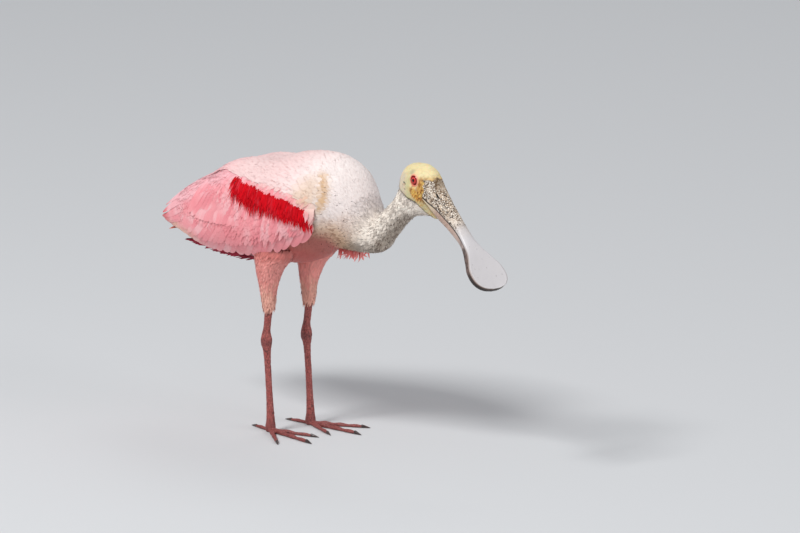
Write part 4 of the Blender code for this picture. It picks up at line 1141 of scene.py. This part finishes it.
# Tuft: loose coral plumes that hang from the breast where the neck begins
rng = np.random.default_rng(61)
count = 70
u = rng.uniform(8.2, 9.6, count)
a = math.pi + rng.normal(0, 0.22, count)
root, along, round_, out = slopes(body, u, a)
root = root - out * 2
way = np.stack([rng.normal(-0.12, 0.28, count), rng.normal(0, 0.25, count), np.full(count, -1.0)], -1)
size = rng.uniform(8, 18, count)
lie = straight(root, way, np.stack([rng.normal(1, 0.3, count), rng.normal(0, 0.6, count), np.zeros(count)], -1), size, 6, 0.12)
half = rng.uniform(1.1, 2.2, (count, 1)) * outline(np.linspace(0, 1, 6), 0.7)
tuft = blades("tuft", lie, half, np.zeros((count, 6)), mix(np.broadcast_to(colour(236, 116, 112), (count, 3)),
              colour(250, 176, 170), rng.random(count) * 0.6), columns=3, ragged=1.0, wander=0.3, vary=0.06)
piece("tuft", tuft, soft, "pink_feathers")

# Bill: two horny mandibles that meet at the mouth line, warty and pitted on the basal half and
# smooth on the spoon. Rows: distance along the ridge, half width, depth to the mouth line, and to the underside
BILL = [
    (0, 15.2, 25.5, 30.5),
    (18, 12.2, 23.5, 31.5),
    (35, 10.7, 18.6, 31.5),
    (52, 9.9, 14.2, 28.0),
    (68, 9.5, 9.8, 23.5),
    (84, 9.6, 7.0, 19.6),
    (100, 11.0, 5.6, 16.4),
    (113, 14.6, 4.0, 13.8),
    (125, 20.2, 3.0, 11.8),
    (137, 26.5, 2.3, 10.4),
    (148, 28.4, 2.0, 9.6),
    (157, 27.0, 1.9, 9.0),
    (163.7, 22.5, 1.8, 8.4),
    (168.1, 15.5, 1.7, 7.8),
    (170.3, 6.0, 1.6, 7.0),
]


def mandible(upper):
    """Closed rings of one half of the bill, the share c of the half width at each point of the
    arch, and the distance along the ridge. The outer face is an arch: sine and cosine of an angle,
    both to a power that is lowest, and the arch bluntest, at the root and along the spoon, with
    points at even steps of its length. The inner face is flat."""
    fine = 0.03 if upper else 0.06
    u = np.concatenate([np.arange(0, 7, fine), np.arange(7, 13.9, 0.06), np.linspace(13.9, 14, 4)])
    distance, half, mouth, under = (part[:, None] for part in spline(BILL, u).T)
    half = half * (1.0 if upper else 0.985)
    blunt = 0.9 - 0.68 * blend(90, 122, distance) - (0.22 * blend(46, 0, distance) if upper else 0)
    deep = mouth if upper else under - mouth - 0.3
    turn = np.linspace(0, math.pi / 2, 300)
    sine, cosine = np.sin(turn) ** blunt, np.maximum(np.cos(turn), 0) ** blunt
    steps = np.hypot(np.diff(sine, axis=1) * half, np.diff(cosine, axis=1) * deep)
    reach = np.cumsum(np.hstack([np.zeros((len(u), 1)), steps]), axis=1)
    side = np.linspace(0, 1, 81 if upper else 46)
    c, rise = (np.array([np.interp(side * row[-1], row, part) for row, part in zip(reach, shape)])
               for shape in (sine, cosine))
    c, rise = np.hstack([-c[:, :0:-1], c]), np.hstack([rise[:, :0:-1], rise])
    level = mouth * (rise - 1) if upper else -(mouth + 0.3) - deep * rise
    if upper:
        level = mouth * (rise - 1) - blend(112, 140, distance) * (0.7 * (1 - c**2) ** 2 - 0.3 * np.exp(-(((np.abs(c) - 0.9) / 0.06) ** 2)))
    flat = np.linspace(1, -1, 42)[1:-1] + 0 * distance
    closing = -mouth if upper else -(mouth + 0.3)
    whole, level = np.hstack([c, flat]), np.hstack([level, closing + 0 * flat])
    forward = distance + bill_root(level) * np.maximum(0, 1 - distance / 60) ** 1.5
    across = half * whole
    rings = RIDGE + forward[..., None] * BILL_ALONG + across[..., None] * BILL_LEFT + level[..., None] * BILL_UP
    return rings, distance, c


def horn(upper):
    """One mandible's mesh with its beads, pits and nostrils, and its colours."""
    rings, distance, c = mandible(upper)
    arch = rings[:, : c.shape[1]]
    out = unit(np.cross(np.gradient(arch, axis=0), np.gradient(arch, axis=1)))
    out = out if upper else -out
    along, across, level = ((arch - RIDGE) @ way for way in (BILL_ALONG, BILL_LEFT, BILL_UP))
    rough = blend(100, 34, distance + 14 * noise(arch, 14, 12))
    bent = arch + 0.6 * np.stack([noise(arch, 3.0, s) for s in (18, 19, 20)], -1)
    near, next_, which = cells(bent, 2.2, 13)
    bead = blend(0.08, 0.34, next_ - near)
    warts, dark = noise(arch, 4.5, 14), noise(arch, 1.4, 21)
    depth = rough * (0.42 * bead + 0.25 * warts - 0.3 * blend(0.1, 0.5, dark)) + 0.1 * noise(arch, 7, 15)
    tone = np.broadcast_to(colour(206, 202, 203), arch.shape).copy()
    tone = mix(tone, colour(206, 184, 160), rough)
    tone = mix(tone, colour(248, 238, 224), rough * 0.95 * bead * blend(0.1, 0.4, which))
    tone = mix(tone, colour(84, 62, 42), rough * 0.95 * (1 - bead) * blend(-0.6, 0.2, warts))
    spots = blend(0.1, 0.45, rough) * blend(0.28, 0.5, dark)
    tone = mix(tone, colour(48, 34, 25), 0.9 * spots)
    tone = mix(tone, colour(104, 78, 44), rough * 0.75 * blend(34, 4, distance) * blend(0.8, 0.3, np.abs(c)))
    tone = mix(tone, bare_colour(arch), 0.95 * blend(0.8, 0.2, (distance + 2.5 * noise(arch, 3.5, 52)) / 5))
    fleck = cells(arch, 4.5, 16)
    tone = mix(tone, colour(96, 86, 80), 0.75 * (1 - rough) * blend(0.15, 0.07, fleck[0]) * (fleck[2] > 0.7))
    rim = np.abs(c)
    if upper:
        slit = np.hypot((along - 23.6) / 3.8, (0.7 * (np.abs(across) - level) - 10.6) / 1.3)
        depth = depth * blend(0.9, 1.6, slit) - 1.6 * blend(1.2, 0.5, slit)
        # The nostril's slit is painted near black, as the shade inside its opening
        tone = mix(tone, colour(24, 18, 15), blend(1.3, 0.8, slit))
        wall = blend(0.93, 1.0, rim) * blend(96, 120, distance)
        tone = mix(tone, colour(150, 128, 116), 0.7 * wall)
    else:
        tone = mix(tone, colour(188, 156, 140), 0.8 * blend(122, 84, distance))
        tone = mix(tone, colour(226, 208, 176), 0.85 * blend(40, 22, distance) * blend(0.75, 0.95, rim))
        tone = mix(tone, colour(214, 200, 186), 0.8 * blend(0.62, 0.4, rim) * blend(130, 90, distance))
        tone = mix(tone, colour(92, 66, 56), 0.9 * blend(84, 118, distance))
        tone = mix(tone, colour(26, 18, 15), 0.9 * blend(132, 152, distance))
        tone = mix(tone, colour(44, 32, 26), 0.7 * blend(0.1, 0.5, warts) * blend(80, 110, distance))
    # Along the mouth line the horn is painted dark, as the shade between the mandibles
    lip = blend(1.5, 0.5, np.abs(level + spline(BILL, np.interp(distance, [r[0] for r in BILL], np.arange(15)))[..., 2]))
    tone = mix(tone, colour(30, 20, 16), 0.92 * lip * blend(112, 84, distance) * (rim > 0.8))
    tone = mix(tone, colour(96, 70, 58), 0.8 * lip * blend(84, 112, distance) * (rim > 0.8))
    rings[:, : c.shape[1]] = arch + out * (depth * blend(1.0, 0.95, rim))[..., None]
    # The flat inner faces, seen only through the mouth line, are painted dark as shade
    inner = np.broadcast_to(colour(60, 46, 40), rings[:, c.shape[1] :].shape)
    tones = np.concatenate([tone, inner], 1)
    if not upper:
        rings, tones = rings[:, ::-1], tones[:, ::-1]
    mesh = mesh_of("bill", *capped(rings))
    paint(mesh, np.vstack([tones.reshape(-1, 3), tones[0].mean(0), tones[-1].mean(0)]))
    return mesh


keratin = porous("bill horn", 0.38, 0.45, 700.0, 0.4, 0.0003)
piece("bill_upper_horn", horn(True), keratin, "bill_horn", "bill_upper")
piece("bill_lower_horn", horn(False), keratin, "bill_horn", "bill_lower")

# Eyes: red irises with a small black pupil under a clear bulging front, painted dark with shade where the lids meet
# them
def eyeball(side):
    """A ball in rings from its front pole, with a slight bulge over the iris, and the angle from
    the front pole at each point."""
    front = unit(np.array([0.05, side, 0.03]))
    ahead = unit(np.cross([0, 0, side], front))
    top = np.cross(front, ahead)
    polar = np.concatenate([np.linspace(0.01, 1.0, 60), np.linspace(1.05, math.pi - 0.02, 40)])
    turn = np.arange(96) * math.tau / 96
    theta, phi = np.meshgrid(polar, turn, indexing="ij")
    radius = EYE_RADIUS + 0.3 * np.exp(-((theta / 0.5) ** 2))
    ring = front * np.cos(theta)[..., None]
    ring = ring + (ahead * np.cos(phi)[..., None] + top * np.sin(phi)[..., None]) * np.sin(theta)[..., None]
    return EYE * (1, side, 1) + ring * radius[..., None], theta, phi


gloss = painted("eye", 0.2, 0.1)
gloss.node_tree.nodes["Principled BSDF"].inputs["Coat Weight"].default_value = 0.3
gloss.node_tree.nodes["Principled BSDF"].inputs["Coat Roughness"].default_value = 0.02
for side in (1, -1):
    rings, theta, phi = eyeball(side)
    radius = EYE_RADIUS * np.sin(np.minimum(theta, 1.5))
    fibre = 0.5 + 0.5 * noise(np.stack([np.cos(phi) * 9, np.sin(phi) * 9, radius * 0.25], -1), 0.6, 17)
    tone = mix(np.broadcast_to(colour(196, 44, 46), rings.shape), colour(214, 88, 76), 0.6 * fibre)
    tone = mix(tone, colour(116, 8, 16), 0.9 * blend(3.7, 4.3, radius))
    tone = mix(tone, colour(120, 12, 18), 0.8 * blend(2.5, 2.0, radius))
    tone = mix(tone, colour(4, 3, 3), blend(2.0, 1.8, radius))
    # Dark at the lid's edge and over the back of the ball: painted shade under the lids
    tone = mix(tone, colour(30, 8, 10), blend(5.4, 5.8, radius + 3 * (theta > 1.5)))
    ball = mesh_of("eye", *capped(rings if side < 0 else rings))
    paint(ball, np.vstack([tone.reshape(-1, 3), tone[0].mean(0), tone[-1].mean(0)]))
    piece(f"eyeball_{stamp[side]}", ball, gloss, "eye", f"eye_{stamp[side]}")

# Legs: bone under dark red scaled skin, bare from the thigh's feathers down, with four toes and small
# webs between the front ones. Rows: x, y, z and the radii across and fore and aft
LEG = [
    (-1, 33.5, 172, 4.9, 5.3),
    (-2, 33.5, 155, 4.7, 5.1),
    (-4.5, 33.4, 137, 4.4, 4.8),
    (-6, 33.4, 129, 4.9, 5.8),
    (-6, 33.4, 120, 6.5, 8.0),
    (-6, 33.4, 113, 6.3, 7.6),
    (-5, 33.4, 106, 4.8, 5.8),
    (-4, 33.4, 94, 4.0, 4.6),
    (-2, 33.4, 70, 3.8, 4.5),
    (0, 33.4, 45, 3.9, 4.6),
    (2, 33.4, 18, 5.2, 5.4),
    (2, 33.4, 7, 6.3, 7.0),
    (2, 33.4, 0.4, 5.8, 6.8),
]
TOES = [(5, 84, 7.0, 3), (-19, 64, 6.4, 2), (33, 72, 6.4, 3), (187, 36, 5.6, 1)]
SOLE = np.array([2, 33.4, 0.0])


def leg_tube():
    """Ovals round the leg's line."""
    row = spline(LEG, np.arange(0, 12.001, 0.125))[:, None]
    a = np.arange(40) * math.tau / 40
    zero = np.zeros((len(row), 40))
    return row[..., :3] + np.stack([row[..., 4] * np.cos(a), row[..., 3] * np.sin(a), zero], -1)


def toe(angle, run, half, high):
    """Arches on the floor along a toe, their feet tucked in: across is the half width times the
    cosine of an angle from -50 to 230 degrees, and height goes as 0.42 plus 0.58 of its sine."""
    way = np.array([math.cos(math.radians(angle)), math.sin(math.radians(angle)), 0])
    side = np.array([-way[1], way[0], 0])
    arch = np.linspace(1.28, -0.28, 30) * math.pi
    across = half[:, None] * np.cos(arch)
    height = np.maximum(high[:, None] * (0.42 + 0.58 * np.sin(arch)), 0)
    return SOLE + way * run[:, None, None] + across[..., None] * side + height[..., None] * (0, 0, 1)


def toe_skin(angle, length, thick, joints):
    """A toe that swells at each joint, as the cosine of its share of the length."""
    t = np.linspace(0, 1, 60)
    half = thick / 2 * (1 - 0.38 * t) * (1 + 0.14 * np.cos(t * (2 * joints + 1) * math.pi))
    return toe(angle, t * length, half, half * 1.7 * (1 - 0.1 * t))


def web(first, second):
    """A thin skin between the roots of two toes, in slices from one toe to the other."""
    t = np.linspace(0, 1, 12)[:, None, None]
    ways = [np.array([math.cos(math.radians(a)), math.sin(math.radians(a)), 0]) for a in (first, second)]
    reach = 26 - 40 * t * (1 - t)
    way = unit(ways[0] * (1 - t) + ways[1] * t)
    c = np.linspace(0, 1, 8)
    near = np.stack([way[:, 0] * reach[:, 0] * k for k in c], 1)
    slab = np.concatenate([near + (0, 0, 2.0), near[:, ::-1] + (0, 0, 0.7)], 1)
    return SOLE + (slab if second > first else slab[:, ::-1])


def joined(shapes):
    """The points and faces of several closed tubes as one."""
    points, quads, corners, count = [], [], [], 0
    for rings in shapes:
        p, q, t = capped(rings)
        points.append(p)
        quads.append(q + count)
        corners.append(t + count)
        count += len(p)
    return np.vstack(points), np.vstack(quads), np.vstack(corners)


raw = mesh_of("leg", *joined([leg_tube()] + [toe_skin(*row) for row in TOES] + [web(5, 33), web(5, -19)]))
holder = bpy.data.objects.new("leg", raw)
bpy.context.scene.collection.objects.link(holder)
step = holder.modifiers.new("skin", "REMESH")
step.mode = "VOXEL"
step.voxel_size = 0.0007
bpy.context.view_layer.update()
leg = bpy.data.meshes.new_from_object(holder.evaluated_get(bpy.context.evaluated_depsgraph_get()))
bpy.data.objects.remove(holder)
flesh = points_of(leg)
out = np.empty(len(flesh) * 3, np.float32)
leg.vertices.foreach_get("normal", out)
out = out.reshape(-1, 3)
toes_share = blend(16, 9, flesh[:, 2])
size = mix_shares(2.9, 1.9, toes_share)[:, None]
near, next_, which = cells(flesh * (1, 1, 0.8) / size, 1.0, 41)
groove = blend(0.16, 0.03, next_ - near)
lower = blend(0.6, 1.6, flesh[:, 2])
flesh = flesh + out * ((0.24 * (1 - near) - 0.3 * groove) * lower + 0.12 * noise(flesh, 6, 42))[:, None]
flesh[:, 2] = np.maximum(flesh[:, 2], 0)
leg.vertices.foreach_set("co", ((flesh + TO_MODEL) / 1000).astype(np.float32).ravel())
leg.shade_smooth()
tone = np.broadcast_to(colour(158, 76, 72), flesh.shape)
tone = mix(tone, colour(184, 110, 100), 0.5 * which)
tone = mix(tone, colour(104, 56, 56), 0.5 * blend(7, 2, np.abs(flesh[:, 2] - 116)) + 0.35 * toes_share)
tone = mix(tone, colour(70, 34, 36), 0.75 * groove)
paint(leg, tone)
scaled = porous("scaled leg skin", 0.5, 0.4, 1400.0, 0.5, 0.0003)
claw_horn = porous("claw horn", 0.3, 0.5, 900.0, 0.3, 0.0002)
claw_rings = []
for angle, length, thick, _ in TOES:
    t = np.linspace(0, 1, 16)
    half = thick / 2 * 0.62 * (1 - 0.9 * t**1.3)
    claw_rings.append(toe(angle, length - 3 + 12 * t, half, half * 2.0))
claws = mesh_of("claws", *joined(claw_rings))
tips = points_of(claws)
paint(claws, mix(np.broadcast_to(colour(58, 44, 42), tips.shape), colour(104, 84, 78), blend(0.2, 0.9, noise(tips, 2, 43))))
for side in (1, -1):
    for name, shape, finish in (("leg_skin", leg, scaled), ("claws", claws, claw_horn)):
        copy = shape.copy()
        if side < 0:
            turned = points_of(copy) * (1, -1, 1)
            copy.vertices.foreach_set("co", ((turned + TO_MODEL) / 1000).astype(np.float32).ravel())
            copy.flip_normals()
        nodes = [f"{part}_{stamp[side]}" for part in ("shank", "tarsus", "foot")] if name == "leg_skin" else []
        piece(f"{name}_{stamp[side]}", copy, finish, "leg_skin", *nodes)
